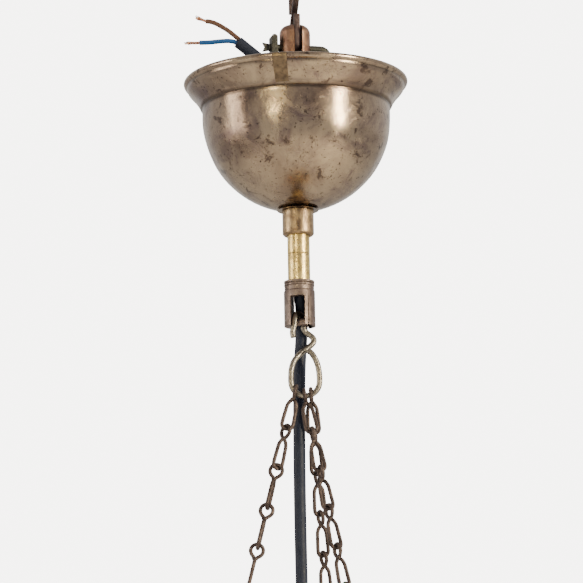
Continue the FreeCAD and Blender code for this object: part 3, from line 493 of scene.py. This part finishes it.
def box_mesh(low, high):
    (x0, y0, z0), (x1, y1, z1) = low, high
    verts = [(x, y, z) for z in (z0, z1) for y in (y0, y1) for x in (x0, x1)]
    faces = [(0, 2, 3, 1), (4, 5, 7, 6), (0, 1, 5, 4), (2, 6, 7, 3), (0, 4, 6, 2), (1, 3, 7, 5)]
    return verts, faces


def turned_about_z(part, degrees):
    return moved(part, Matrix.Rotation(math.radians(degrees), 4, "Z"))


# --- the free flex at the top ---

def nurbs(name, points, radius=None):
    """A curve with given control points in millimetres."""
    curve = bpy.data.curves.new(name, "CURVE")
    curve.dimensions = "3D"
    spline = curve.splines.new("NURBS")
    spline.points.add(len(points) - 1)
    for spot, point in zip(spline.points, points):
        spot.co = (*(c * MM for c in point), 1)
    spline.order_u = 3
    spline.use_endpoint_u = True
    spline.resolution_u = 12
    if radius:
        curve.bevel_depth = radius * MM
        curve.bevel_resolution = 6
        curve.use_fill_caps = True
    piece = bpy.data.objects.new(name, curve)
    bpy.context.scene.collection.objects.link(piece)
    return piece


def line_of(name, points):
    """The smooth line of a curve, read back from its spline, in millimetres."""
    helper = nurbs(name, points)
    bpy.context.view_layer.update()
    graph = bpy.context.evaluated_depsgraph_get()
    mesh = bpy.data.meshes.new_from_object(helper.evaluated_get(graph))
    line = [v.co / MM for v in mesh.vertices]
    bpy.data.objects.remove(helper)
    return line


def below_rim(points):
    return [(x, y, z + RIM) for x, y, z in points]


FLEX = 6.2
TAIL = below_rim([(0, 0, -20), (0, 0, -4.9), (-14.0, -1.4, 8.0), (-29.3, -3.0, 20.6)])
tail = nurbs("flex_tail", TAIL, FLEX / 2)
tail.data.materials.append(MATERIALS["sheath"])
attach(tail, "stem")
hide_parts("cable_tail")


# --- the flex below the stem ---

LOWER = below_rim([(0, 0, -100.6), (0, 0, -110.5), (1.4, 9.5, -124.6), (-1.0, 8.8, -153.0),
                   (-1.6, 8.0, -208.0), (-1.5, 7.5, -250.0)])
GRIP_TOP = -554.26
LOWER += [(-0.3, 1.0, GRIP_TOP + 48), (0, 0, GRIP_TOP + 20), (0, 0, GRIP_TOP - 17)]
FIRST_SPLIT = RIM - 139.0
SECOND_SPLIT = RIM - 177.75
flex_line = line_of("flex_route", LOWER)


def stretch(high, low):
    """The part of the flex's line between two heights."""
    spots = []
    for before, after in zip(flex_line, flex_line[1:]):
        for limit in (high, low):
            if before.z > limit >= after.z:
                share = (before.z - limit) / (before.z - after.z)
                spots.append(before.lerp(after, share))
        if high > after.z > low:
            spots.append(after)
    return sorted(spots, key=lambda spot: -spot.z)


def flex_piece(name, line, body, node):
    """A length of flex; section points keep their place round the line."""
    part = sweep(line, circle(FLEX / 2, 24), up=(0, 1, 0.01))
    return add_piece(name, *part, body, "sheath", stands_for=[node])


bend = flex_piece("flex_bend", stretch(RIM - 100.7, FIRST_SPLIT), None, "cable_bend")
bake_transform(bend)
cross = flex_piece("flex_cross", stretch(FIRST_SPLIT, SECOND_SPLIT), None, "cable_cross")
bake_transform(cross)
flex_piece("flex_drop", stretch(SECOND_SPLIT, GRIP_TOP - 16), "bowl_set", "cable_drop")


# --- cores and strands ---

def core(name, points, node, slot):
    line = through(below_rim(points), 8)
    part = sweep(line, circle(CORE_RADIUS, 18), up=(0, 1, 0.2))
    return add_piece(name, *part, "stem", slot, stands_for=[node])


GOLDEN_ANGLE = 2.399
BUNDLE_RADIUS, STRAND_RADIUS, CORE_RADIUS = 0.62, 0.19, 1.2


def strands(name, start, way, count, length, spread, node):
    """A frayed bundle of fine bare wires, set out round a spiral by the golden angle."""
    parts = []
    way = Vector(way).normalized()
    side = way.cross(Vector((0, 1, 0))).normalized()
    deep = way.cross(side)
    for index in range(count):
        angle = GOLDEN_ANGLE * index
        far = BUNDLE_RADIUS * math.sqrt((index + 0.5) / count)
        root = side * (far * math.cos(angle)) + deep * (far * math.sin(angle))
        flare = spread * (0.3 + random.random())
        tip = root * flare + way * length * (0.72 + 0.28 * random.random())
        bow = side * random.uniform(-0.35, 0.35) + deep * random.uniform(-0.25, 0.25)
        first = Vector(start)
        line = through([first + root, first + root + way * length * 0.35,
                        first + root * (0.5 + 0.5 * flare) + way * length * 0.68 + bow,
                        first + tip], 4)
        parts.append(sweep(line, circle(STRAND_RADIUS, 6), up=(0, 1, 0.1)))
    return add_piece(name, *merged(*parts), "stem", "copper", stands_for=[node])


ends = (
    core("core_blue_sleeve", [(-29.2, -3.05, 19.3), (-31.0, -3.2, 20.6), (-34.0, -3.4, 21.2),
                              (-38.5, -3.6, 21.0), (-44.0, -3.7, 20.5), (-49.2, -3.8, 20.4)],
         "core_blue", "blue_insulation"),
    core("core_brown_sleeve", [(-27.9, -2.9, 21.3), (-30.0, -3.1, 23.1), (-34.5, -3.4, 26.8),
                               (-39.8, -3.7, 30.1), (-43.0, -3.8, 31.4), (-45.8, -3.8, 31.9)],
         "core_brown", "brown_insulation"),
    strands("strands_blue_wires", (-49.0, -3.8, 20.4 + RIM), (-1, 0, -0.02), 14, 8.4, 1.25,
            "strands_blue"),
    strands("strands_brown_wires", (-45.6, -3.8, 31.9 + RIM), (-0.93, 0, 0.37), 14, 6.3, 1.5,
            "strands_brown"),
)


# --- ceiling cup ---

CUP_RADIUS, CUP_WALL, CUP_DEPTH, CUP_ROUND = 48.3, 0.9, 68.6, 20.3
CUP_HOLE, CUP_SEAT = 6.1, 10.6
BEAD, BEAD_MIDDLE = 1.5, 56.25


def quarter(radius, steps):
    """Places on the cup's round part, which starts CUP_ROUND below the rim."""
    places = []
    for step in steps:
        angle = math.radians(90 * step / 24)
        places.append((radius * math.sin(angle), RIM - CUP_ROUND - radius * math.cos(angle)))
    return places


def cup_profile():
    """Outer side from the seat to the bead, then the inside back down, radius and height."""
    low = RIM - CUP_DEPTH
    outer = [(CUP_HOLE, low), (CUP_SEAT, low)] + quarter(CUP_RADIUS, range(3, 25))
    outer += [(CUP_RADIUS, RIM - 17.4), (48.32, RIM - 15.3), (48.5, RIM - 14.75),
              (49.0, RIM - 14.45), (49.45, RIM - 14.0)]
    flare = [(49.85, -12.9), (50.9, -11.0), (52.2, -9.2), (53.6, -7.6), (54.8, -6.3), (55.6, -5.2),
             (56.05, -4.2), (56.2, -3.35)]
    outer += [(r, RIM + z) for r, z in flare]
    bead = []
    for degrees in range(-55, 215, 18):
        angle = math.radians(degrees)
        bead.append((BEAD_MIDDLE + BEAD * math.cos(angle), RIM - BEAD + BEAD * math.sin(angle)))
    inside = [(r - CUP_WALL, RIM + z) for r, z in flare[::-1]]
    inside += [(48.0, RIM - 14.9), (47.4, RIM - 16.5)]
    inside += quarter(CUP_RADIUS - CUP_WALL, range(24, 2, -1))
    return outer + bead + inside + [(CUP_SEAT, low + CUP_WALL), (CUP_HOLE, low + CUP_WALL)]


def cup_dents(angle, height):
    """Slight unevenness of spun metal, none at the seat and the rim."""
    depth = min(max((RIM - 6 - height) / 10, 0), 1) * min(max((height - RIM + 66) / 14, 0), 1)
    return depth * (0.16 * math.sin(3 * angle + 0.05 * height)
                    + 0.09 * math.sin(7 * angle + 0.19 * height)
                    + 0.05 * math.sin(13 * angle - 0.31 * height))


add_piece("cup_shell", *lathe(cup_profile(), 192, cup_dents), "cup", "aged_brass",
          stands_for=["ceiling_cup"], sharp=30)


PATCH_HALF, PATCH_RADIUS, PATCH_TURN = 3.7, 57.8, -98


def patch_strap():
    """Thin strap that follows the bead and the flare."""
    line = [(57.8, -0.5), (58.1, -1.5), (57.9, -2.7), (57.1, -3.6), (56.6, -4.2), (56.2, -5.0),
            (55.3, -6.5), (54.3, -8.0), (52.6, -9.9), (51.1, -11.9), (50.1, -13.6)]
    outer = [(r + 0.12, z) for r, z in line]
    inner = [(r - 0.35, z) for r, z in line]
    outline = outer + inner[::-1]
    half = PATCH_HALF / PATCH_RADIUS
    steps = 8
    verts = []
    for k in range(steps + 1):
        angle = math.radians(PATCH_TURN) + half * (2 * k / steps - 1)
        for r, z in outline:
            verts.append((r * math.cos(angle), r * math.sin(angle), RIM + z))
    return verts, capped(steps + 1, len(outline))


add_piece("rim_strap", *patch_strap(), "cup", "solder_strap", stands_for=["rim_patch"])


# --- stem parts ---

AXIS = 0.001  # a radius that is nearly none, for the middle of a turned solid
TUBE_SEAT, TUBE_BORE, SLEEVE_RADIUS, HEAD_RADIUS = 5.05, 4.2, 5.7, 7.95
COLLAR_TOP, COLLAR_LOW = -121.1, -134.3
SLEEVE_TOP, SLEEVE_JOINT, SLEEVE_GAP = -116.1, -143.8, 0.05
RING_TOP, RING_LOW, YOKE_LOW = -158.0, -160.6, -181.4


def turned_piece(name, outline, body, slot, node, fillet=0.25, material=None):
    return add_piece(name, *lathe(rounded(outline, fillet), 96), body, slot, material,
                     stands_for=[node], sharp=32)


def ring_outline(bore, radius, low, high):
    return [(bore, low), (radius, low), (radius, high), (bore, high)]


turned_piece("collar_sleeve", [(5.85, COLLAR_LOW), (7.15, COLLAR_LOW), (8.05, COLLAR_LOW + 1.0),
                               (8.05, COLLAR_TOP), (5.85, COLLAR_TOP)],
             "collar", "aged_brass", "cup_collar", material="collar_brass")
upper = ring_outline(TUBE_SEAT, SLEEVE_RADIUS, SLEEVE_JOINT + SLEEVE_GAP, SLEEVE_TOP)
lower = ring_outline(TUBE_SEAT, SLEEVE_RADIUS, RING_TOP, SLEEVE_JOINT - SLEEVE_GAP)
turned_piece("sleeve_upper", upper, "stem", "polished_brass", "upper_sleeve", 0.3)
turned_piece("sleeve_lower", lower, "stem", "polished_brass", "lower_sleeve", 0.3)
turned_piece("ring_grooved", [(TUBE_SEAT, RING_LOW), (7.75, RING_LOW), (7.8, -159.75),
                              (7.3, -159.6), (7.3, -159.3), (7.8, -159.15), (7.8, RING_TOP),
                              (TUBE_SEAT, RING_TOP)],
             "stem", "coppery_brass", "lock_ring", 0.18, material="yoke_brass")


def cylinder_part(radius, low, high, steps=64):
    verts = []
    for z in (low, high):
        for k in range(steps):
            angle = 2 * math.pi * k / steps
            verts.append((radius * math.cos(angle), radius * math.sin(angle), z))
    return verts, capped(2, steps)


def lying(part, middle):
    """Turns an upright part so that it points along X, and moves it."""
    return moved(part, Matrix.Translation(middle) @ Matrix.Rotation(math.radians(90), 4, "Y"))


FORK_TOP, FORK_LOW, FORK_EDGE = -23.0, -73.4, 4.4
SLOT_HALF, SLOT_LOW = 2.1, -40.2
OUTLET_HALF, OUTLET_TOP, OUTLET_LOW = 4.7, -43.4, -58.4
PIN_HOLE = 2.06
PAST = 12  # how far a cutter reaches, well past the surface


def fork_head():
    """Turned head with a slot for the hook, a side outlet, a socket and the pin's hole."""
    outline = [(AXIS, FORK_LOW), (HEAD_RADIUS, FORK_LOW)]
    for step in range(0, 10):
        angle = math.radians(10 * step)
        outline.append((HEAD_RADIUS - FORK_EDGE * (1 - math.cos(angle)),
                        FORK_TOP - FORK_EDGE * (1 - math.sin(angle))))
    outline.append((AXIS, FORK_TOP))
    piece = add_piece("fork_head", *lathe(outline, 96), None, "coppery_brass",
                      stands_for=["top_fork"], sharp=40)
    slot = box_mesh((-SLOT_HALF, -PAST, SLOT_LOW), (SLOT_HALF, PAST, FORK_TOP + 3))
    outlet = box_mesh((-PAST, -OUTLET_HALF, OUTLET_LOW), (PAST, OUTLET_HALF, OUTLET_TOP))
    socket = cylinder_part(TUBE_SEAT, FORK_LOW - 6.6, OUTLET_LOW)
    hole = lying(cylinder_part(PIN_HOLE, -PAST, PAST, 32), (0, 0, PIN))
    carved(piece, [turned_about_z(slot, FORK_TURN), turned_about_z(outlet, FORK_TURN), socket,
                   turned_about_z(hole, FORK_TURN)])
    finish_mesh(piece.data, 40)
    softened(piece, 0.3, 3, 50)
    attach(piece, "stem")


fork_head()


WINDOW_HALF, WINDOW_TOP, BACK_WINDOW_TOP = 3.7, RING_LOW - 5.9, RING_LOW - 3.4
FOOT_EDGE = 3.0
BAR_RADIUS, BAR_HALF = 2.1, 3.9


def yoke_head():
    """Turned stirrup with a window through it, rounded feet and a cross bar."""
    top, low, under = RING_LOW, YOKE_LOW, YOKE_LOW - 2
    outline = [(AXIS, low), (HEAD_RADIUS, low), (HEAD_RADIUS, top - 3.0), (7.85, top - 2.6),
               (7.5, top - 2.3), (7.55, top - 2.0), (7.55, top - 0.2), (7.35, top), (AXIS, top)]
    piece = add_piece("yoke_head", *lathe(outline, 96), None, "coppery_brass", "yoke_brass",
                      stands_for=["lower_yoke"], sharp=40)
    window = box_mesh((-WINDOW_HALF, -PAST, under), (WINDOW_HALF, PAST, WINDOW_TOP))
    back = box_mesh((-WINDOW_HALF, 0, under), (WINDOW_HALF, PAST, BACK_WINDOW_TOP))
    cutters = [turned_about_z(window, YOKE_TURN), turned_about_z(back, YOKE_TURN),
               cylinder_part(TUBE_SEAT, -164.0, -150), cylinder_part(TUBE_BORE, -170, -162)]
    middle = HEAD_RADIUS - FOOT_EDGE
    for side in (-1, 1):
        profile = [(HEAD_RADIUS, low + FOOT_EDGE)]
        for step in range(1, 9):
            angle = math.radians(90 * step / 8)
            profile.append((middle + FOOT_EDGE * math.cos(angle),
                            low + FOOT_EDGE - FOOT_EDGE * math.sin(angle)))
        profile += [(middle, under), (10.5, under), (10.5, low + FOOT_EDGE)]
        verts, faces = slab([(side * x, z) for x, z in profile], PAST)
        if side < 0:
            faces = [face[::-1] for face in faces]
        cutters.append(turned_about_z((verts, faces), YOKE_TURN))
    carved(piece, cutters)
    finish_mesh(piece.data, 40)
    softened(piece, 0.3, 3, 50)
    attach(piece, "stem")
    bar = lying(cylinder_part(BAR_RADIUS, -BAR_HALF, BAR_HALF, 32), (0, 0, BAR))
    add_piece("yoke_cross_bar", *turned_about_z(bar, YOKE_TURN), "stem", "coppery_brass",
              "yoke_brass")


yoke_head()


# --- hanging hook, pin and tab ---

STRAP_LOOP, LOOPS_APART = 5.0, 33
STRAP_HALF_WIDTH, STRAP_HALF_THICK = 1.6, 0.9
TURNS = (-60, -30, 0, 30, 60)


def strap_hook():
    """Flat strip bent to an S, in the plane of the fork's slot."""
    far, low = STRAP_LOOP, -LOOPS_APART
    points = [(0, -far, -17.8), (0, -far, -26), (0, -far, low)]
    points += [(0, far * math.sin(math.radians(a)), low - far * math.cos(math.radians(a)))
               for a in TURNS]
    points += [(0, far, low), (0, far, -27), (0, far * 0.86, -22.6), (0, 0, -16),
               (0, -far * 0.86, -9.4), (0, -far, -5), (0, -far, 0)]
    points += [(0, far * math.sin(math.radians(a)),
                far * math.cos(math.radians(a))) for a in TURNS]
    points += [(0, far, 0), (0, far, -8), (0, far, -15.2)]
    line = through(points, 5)
    wide, thick = STRAP_HALF_WIDTH, STRAP_HALF_THICK
    section = rounded([(-wide, -thick), (wide, -thick), (wide, thick), (-wide, thick)], 0.35, 3)
    side = Vector((1, 0, 0))
    verts = []
    for spot, way in zip(line, tangents(line, False)):
        over = way.cross(side).normalized()
        for u, v in section:
            verts.append(tuple(spot + side * u + over * v))
    return turned_about_z((verts, capped(len(line), len(section))), FORK_TURN)


add_piece("strap_hook", *strap_hook(), "hanger", "steel", stands_for=["hanger_hook"], sharp=50)


PIN_RADIUS = 1.98


def pin_rod():
    """Round pin, bent down at one end and beaten to a fishtail at the other."""
    line = through([(-13.9, 0, 0), (-6, 0, 0), (6, 0, 0), (13.2, 0, 0), (15.6, 0, -0.6),
                    (16.8, 0, -2.2), (17.0, 0, -5.6)], 6)
    rod = sweep(line, circle(PIN_RADIUS, 24), up=(0, 1, 0))
    fishtail = slab([(-12.4, 1.5), (-13.6, 1.75), (-17.4, 2.4), (-16.3, 0.0), (-17.4, -2.4),
                     (-13.6, -1.75), (-12.4, -1.5)], 0.65)
    both = merged(rod, fishtail)
    return turned_about_z(moved(both, Matrix.Translation((0, 0, PIN))), FORK_TURN)


pin = add_piece("pin_rod", *pin_rod(), "stem", "dark_steel", stands_for=["cross_pin"], sharp=45)
softened(pin, 0.15, 2, 60)


TAB_HALF_THICK, TAB_HALF_WIDTH, TAB_PLACE = 1.65, 3.5, -11.4


def tab_plate():
    """Flat tab with a round top, standing on the pin."""
    outline = [(-TAB_HALF_THICK, -3.8), (TAB_HALF_THICK, -3.8)]
    for step in range(0, 13):
        angle = math.radians(180 * step / 12)
        outline.append((TAB_HALF_THICK * math.cos(angle), 4.95 + TAB_HALF_THICK * math.sin(angle)))
    place = Matrix.Translation((TAB_PLACE, 0, PIN))
    return turned_about_z(moved(slab(outline, TAB_HALF_WIDTH), place), FORK_TURN)


tab = add_piece("tab_plate", *tab_plate(), "stem", "dark_steel", stands_for=["pin_tab"], sharp=45)
softened(tab, 0.35, 3, 50)


# --- wire hook ---

LOOP_X, LOOP_Z, LOOP_RADIUS = 2.2, RIM - 157.5, 7.2
HOOK_WIRE = 1.5


def yoke_spot(x, y, z):
    """A place given from the middle of the cross bar, turned with the stirrup."""
    turn = Matrix.Rotation(math.radians(YOKE_TURN), 3, "Z")
    return tuple(turn @ Vector((x, y, z)) + Vector((0, 0, BAR)))


def wire_hook():
    """Over the cross bar, down in front of the flex, and round into the loop for the chains."""
    over = [(-2.7, -4.9, -8.9), (-3.1, -4.9, -6.4), (-2.7, -4.8, -4.0), (-2.1, -4.6, -1.9),
            (-1.85, -4.0, 1.0), (-1.5, -2.4, 3.4), (-0.6, 0.0, 4.2), (0.5, 2.4, 3.5),
            (1.3, 4.0, 0.9), (1.3, 4.3, -2.6)]
    points = [yoke_spot(*spot) for spot in over]
    points += below_rim([(2.9, 4.7, -131.0), (5.0, 4.9, -132.6), (6.5, 4.9, -134.1),
                         (6.9, 4.7, -135.8), (5.8, 4.4, -137.6), (3.6, 4.0, -139.4),
                         (0.9, 3.2, -141.6), (-1.6, 2.0, -144.1), (-3.6, 0.9, -147.2),
                         (-4.7, 0.3, -150.9), (-5.0, 0, -154.6), (-5.0, 0, -157.5)])
    for step in range(1, 8):
        angle = math.pi * step / 8
        points.append((LOOP_X - LOOP_RADIUS * math.cos(angle), 0,
                       LOOP_Z - LOOP_RADIUS * math.sin(angle)))
    points += below_rim([(9.4, 0, -157.5), (9.3, 0, -153.2), (8.6, 0, -148.9), (7.3, 0, -145.5),
                         (5.6, 0, -142.8), (3.7, 0, -141.3)])
    line = through(points, 6)
    return sweep(line, circle(HOOK_WIRE, 20), up=(0, 1, 0))


hook = add_piece("wire_hook_bent", *wire_hook(), "wire_hook", "pale_steel", stands_for=["s_hook"],
                 sharp=60)
softened(hook, 0.3, 2, 60)


# --- chains ---

LOOP_MIDDLE = Vector((LOOP_X, 0, LOOP_Z))
EYE, LINK_WIRE = 3.15, 1.0
HOOK_CIRCLE = 107.5
HOOK_MIDDLE = -619.86
HOOK_EYE = 4.2
LINKS = 20
EYE_SAG, LOOP_END, HOOK_SAG = 0.1, 1.25, 2.65
# Each chain: its place on the hook's loop, its direction, and how far its links turn.
CHAINS = {"chain_left": (-3.0, 194, 40, 90), "chain_right": (1.8, 314, 10, 25),
          "chain_back": (5.0, 74, 10, 25)}


def flat(radius, degrees, z=0.0):
    angle = math.radians(degrees)
    return Vector((radius * math.cos(angle), radius * math.sin(angle), z))


def chain_line(name):
    x, azimuth, roll, most = CHAINS[name]
    start = Vector((x, 0, LOOP_MIDDLE.z - math.sqrt(LOOP_RADIUS ** 2 - (x - LOOP_MIDDLE.x) ** 2)))
    line = flat(HOOK_CIRCLE, azimuth, HOOK_MIDDLE + HOOK_EYE) - start
    pitch = (line.length - EYE_SAG + LOOP_END + HOOK_SAG) / LINKS
    down = line.normalized()
    return start + down * EYE_SAG, down, pitch


def link_frame(name, index):
    """Columns: across the loop, across the eye, up the chain."""
    start, down, pitch = chain_line(name)
    x, azimuth, roll, most = CHAINS[name]
    across = (Vector((1, 0, 0)) - down * down.x).normalized()
    up = -down
    basis = Matrix((across, up.cross(across), up)).transposed().to_4x4()
    return basis @ Matrix.Rotation(math.radians(min(roll * index, most)), 4, "Z")


def link_wire(pitch):
    """One wire: round eye, half a twist at the neck, and a long loop square to the eye."""
    low = -(pitch - LOOP_END)
    side = [(0.0, 0.92, -3.5), (0.0, 2.0, -2.6), (0, 2.9, -1.3), (0, EYE, 0.1), (0, 2.75, 1.55),
            (0, 1.6, 2.72)]
    eye = side + [(0, 0.0, EYE)] + [(x, -y, z) for x, y, z in side[::-1]]
    left = [(-0.68, -0.68, -4.2), (-1.0, 0.0, -4.8), (-1.75, 0, -5.9), (-2.3, 0, -7.4),
            (-2.5, 0, -9.6), (-2.65, 0, -12.5), (-2.8, 0, -15.6), (-2.75, 0, -17.7),
            (-2.0, 0, -19.15), (-0.75, 0, low)]
    right = [(-x, -y, z) for x, y, z in left[::-1]]
    line = through(eye + left + right, 3, closed=True)
    return sweep(line, circle(LINK_WIRE, 10), closed=True, up=(1, 0.2, 0))


def chain_links(name):
    start, down, pitch = chain_line(name)
    template = link_wire(pitch)
    parts = []
    for index in range(LINKS):
        wobble = Matrix.Rotation(math.radians(random.uniform(-3, 3)), 4, "Z")
        place = Matrix.Translation(start + down * (pitch * index))
        parts.append(moved(template, place @ link_frame(name, index) @ wobble))
    return merged(*parts)


for chain_name in CHAINS:
    add_piece(chain_name + "_links", *chain_links(chain_name), "bowl_set", "chain_metal",
              stands_for=[chain_name], sharp=80)


# --- bowl and its eye hooks ---

LIP_TOP = -633.26
LIP_LOW = LIP_TOP - 10.0
HOOK_PLACES = []
for chain_name, (x, azimuth, roll, most) in CHAINS.items():
    over = link_frame(chain_name, LINKS - 1) @ Vector((1, 0, 0))
    HOOK_PLACES.append((flat(HOOK_CIRCLE, azimuth), math.atan2(over.y, over.x)))


def at_hooks(part):
    return merged(*[moved(part, Matrix.Translation(place) @ Matrix.Rotation(turn, 4, "Z"))
                    for place, turn in HOOK_PLACES])


ROD_RADIUS, ROD_LENGTH, ROD_HOLE = 1.45, 28.0, 1.56


def eye_hook():
    """A rod with its upper end bent to an eye."""
    points = [(0, 0, HOOK_MIDDLE - HOOK_EYE - ROD_LENGTH), (0, 0, HOOK_MIDDLE - 9.5),
              (0, 0, HOOK_MIDDLE - 6.6), (0, 0.5, HOOK_MIDDLE - 5.0)]
    for degrees in range(-60, 215, 25):
        angle = math.radians(degrees)
        points.append((0, HOOK_EYE * math.cos(angle), HOOK_MIDDLE + HOOK_EYE * math.sin(angle)))
    points.append((0, -2.6, HOOK_MIDDLE - 3.3))
    return sweep(through(points, 4), circle(ROD_RADIUS, 14), up=(1, 0, 0))


def hex_nut(low, high):
    outline = [(ROD_HOLE, low), (3.5, low), (3.95, low + 0.4), (3.95, high - 0.4), (3.5, high),
               (ROD_HOLE, high)]
    return lathe(rounded(outline, 0.1, 2), 6)


def washer(low, high):
    return lathe(rounded(ring_outline(ROD_HOLE, 6.0, low, high), 0.3, 3), 40)


WASHER, NUT = 1.2, 3.0
washers = merged(washer(LIP_TOP, LIP_TOP + WASHER), washer(LIP_LOW - WASHER, LIP_LOW))
nuts = merged(hex_nut(LIP_TOP + WASHER, LIP_TOP + WASHER + NUT),
              hex_nut(LIP_LOW - WASHER - NUT, LIP_LOW - WASHER))
add_piece("eye_hooks", *at_hooks(eye_hook()), "bowl_set", "chain_metal", stands_for=["bowl_hooks"],
          sharp=60)
add_piece("washers", *at_hooks(washers), "bowl_set", "chain_metal", stands_for=["hook_washers"])
add_piece("nuts", *at_hooks(nuts), "bowl_set", "chain_metal", stands_for=["hook_nuts"])

LIP_RADIUS, BOWL_OUTER, BOWL_INNER = 120.5, 98, 89
OUTER_DEPTH, INNER_DEPTH, BOWL_HOLE = 72, 73, 2.5
SHY = 0.05  # keeps the outside just within the solid's


def bowl_outline():
    """The stone in section: outside up to the lip, over the lip, and the inside back down."""
    outer, inner = [(AXIS, LIP_LOW - OUTER_DEPTH + SHY)], []
    for step in range(1, 25):
        angle = math.radians(90 * step / 24)
        outer.append((BOWL_OUTER * math.sin(angle), LIP_LOW - OUTER_DEPTH * math.cos(angle) + SHY))
        inner.append((BOWL_INNER * math.sin(angle), LIP_TOP - INNER_DEPTH * math.cos(angle)))
    lip = rounded([(BOWL_OUTER, LIP_LOW), (LIP_RADIUS, LIP_LOW), (LIP_RADIUS, LIP_TOP),
                   (BOWL_INNER, LIP_TOP)], 3.0, 5)
    lip = [spot for spot in lip if spot[0] > 100]
    lip += [(103.5, LIP_TOP), (102.0, LIP_TOP - 0.6), (100.5, LIP_TOP), (91.5, LIP_TOP - 0.02),
            (89.9, LIP_TOP - 0.5)]
    return (outer + [(99.5, LIP_LOW + 0.2)] + lip + inner[-2::-1]
            + [(AXIS, LIP_TOP - INNER_DEPTH)])


bowl = add_piece("bowl_stone", *lathe(bowl_outline(), 160), None, "alabaster",
                 stands_for=["alabaster_bowl"], sharp=50)
carved(bowl, [moved(cylinder_part(BOWL_HOLE, LIP_LOW - 5, LIP_TOP + 5, 24),
                    Matrix.Translation(place))
              for place, turn in HOOK_PLACES])
finish_mesh(bowl.data, 40)
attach(bowl, "bowl_set")


# --- carried-over pieces ---

KEPT = {
    "stem_tube": "brass", "stem_nut": "brass", "collar_screw": "brass", "cable_in_stem": "sheath",
    "cord_grip": "holder_plastic", "holder_cap": "polished_brass", "holder_body": "holder_brass",
    "holder_insert": "porcelain", "holder_contacts": "contact_metal",
    "shade_ring": "polished_brass",
}
for name, finish in KEPT.items():
    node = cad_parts[name]
    node.data.materials.clear()
    node.data.materials.append(MATERIALS[finish])
    node.data.shade_smooth()
    node.data.set_sharp_from_angle(angle=math.radians(32))


# --- surroundings ---

def card(name, corners, colour, strength, faces=((0, 1, 2, 3),)):
    """A plain glowing panel, outside the object."""
    material, tree, shader = new_material(name)
    shader.inputs["Base Color"].default_value = (*colour, 1)
    shader.inputs["Emission Color"].default_value = (*colour, 1)
    shader.inputs["Emission Strength"].default_value = strength
    shader.inputs["Roughness"].default_value = 1.0
    mesh = bpy.data.meshes.new(name)
    mesh.from_pydata(corners, [], faces)
    piece = bpy.data.objects.new(name, mesh)
    mesh.materials.append(material)
    bpy.context.scene.collection.objects.link(piece)
    return piece


def area_light(name, place, target, size, power, colour=(1, 1, 1)):
    light = bpy.data.lights.new(name, "AREA")
    light.shape = "RECTANGLE"
    light.size, light.size_y = size
    light.energy = power
    light.color = colour
    piece = bpy.data.objects.new(name, light)
    piece.location = place
    piece.rotation_euler = (Vector(target) - Vector(place)).to_track_quat("-Z", "Y").to_euler()
    piece.visible_camera = False
    bpy.context.scene.collection.objects.link(piece)
    return piece


def seen_only(piece):
    """Leaves a panel to the camera: it lights nothing and shows in no reflection."""
    piece.visible_glossy = False
    piece.visible_diffuse = False
    piece.visible_transmission = False
    piece.visible_shadow = False


# The surroundings are in metres. The bounce panel lights the lamp from below, unseen.
ROOM, ROOM_LOW, FLOOR, BOUNCE = 12.0, -3.3, -3.2, -0.95
corners = [(-ROOM, -ROOM), (ROOM, -ROOM), (ROOM, ROOM), (-ROOM, ROOM)]
SIDES = [(0, 1, 5, 4), (1, 2, 6, 5), (2, 3, 7, 6), (3, 0, 4, 7), (4, 5, 6, 7), (3, 2, 1, 0)]
seen_only(card("backdrop", [(x, y, z) for z in (ROOM_LOW, ROOM) for x, y in corners],
               (1.0, 0.985, 0.955), 5.8, SIDES))
seen_only(card("floor", [(x, y, FLOOR) for x, y in corners], (1.0, 0.978, 0.94), 4.3))
bounce = card("bounce", [(x, y, BOUNCE) for x, y in corners], (0.8, 0.79, 0.77), 0.05)
bounce.visible_camera = False

world = bpy.data.worlds.new("studio")
world.use_nodes = True
bpy.context.scene.world = world
sky = world.node_tree
way = sky.nodes.new("ShaderNodeSeparateXYZ")
sky.links.new(sky.nodes.new("ShaderNodeTexCoord").outputs["Generated"], way.inputs[0])
span = sky.nodes.new("ShaderNodeMapRange")
span.inputs["From Min"].default_value = -1.0
span.inputs["From Max"].default_value = 1.0
sky.links.new(way.outputs["Y"], span.inputs["Value"])
room = ramp(sky, span.outputs["Result"], [(0.0, (0.33, 0.30, 0.28)), (0.25, (0.36, 0.33, 0.305)),
                                          (0.5, (0.42, 0.395, 0.37)), (0.85, (0.64, 0.62, 0.59))])
sky.links.new(room, sky.nodes["Background"].inputs["Color"])
sky.nodes["Background"].inputs["Strength"].default_value = 1.4

CUP = (0, 0, -0.09)
PANES_APART, SIDES_APART = 0.32, 0.30
for pane in range(3):
    drop = PANES_APART * pane
    area_light("window_%d" % pane, (1.21, -0.88, 0.33 - drop), (0, 0, 0.22 - drop), (0.26, 0.26),
               11, (1, 0.86, 0.58))
for pane in range(2):
    area_light("side_%d" % pane, (-1.35, -0.12 - SIDES_APART * pane, -0.02), CUP, (0.2, 0.8), 3.8,
               (1, 0.89, 0.68))
area_light("strip_front", (-0.60, -1.33, 0.02), CUP, (0.10, 0.5), 4.2, (1, 0.84, 0.44))
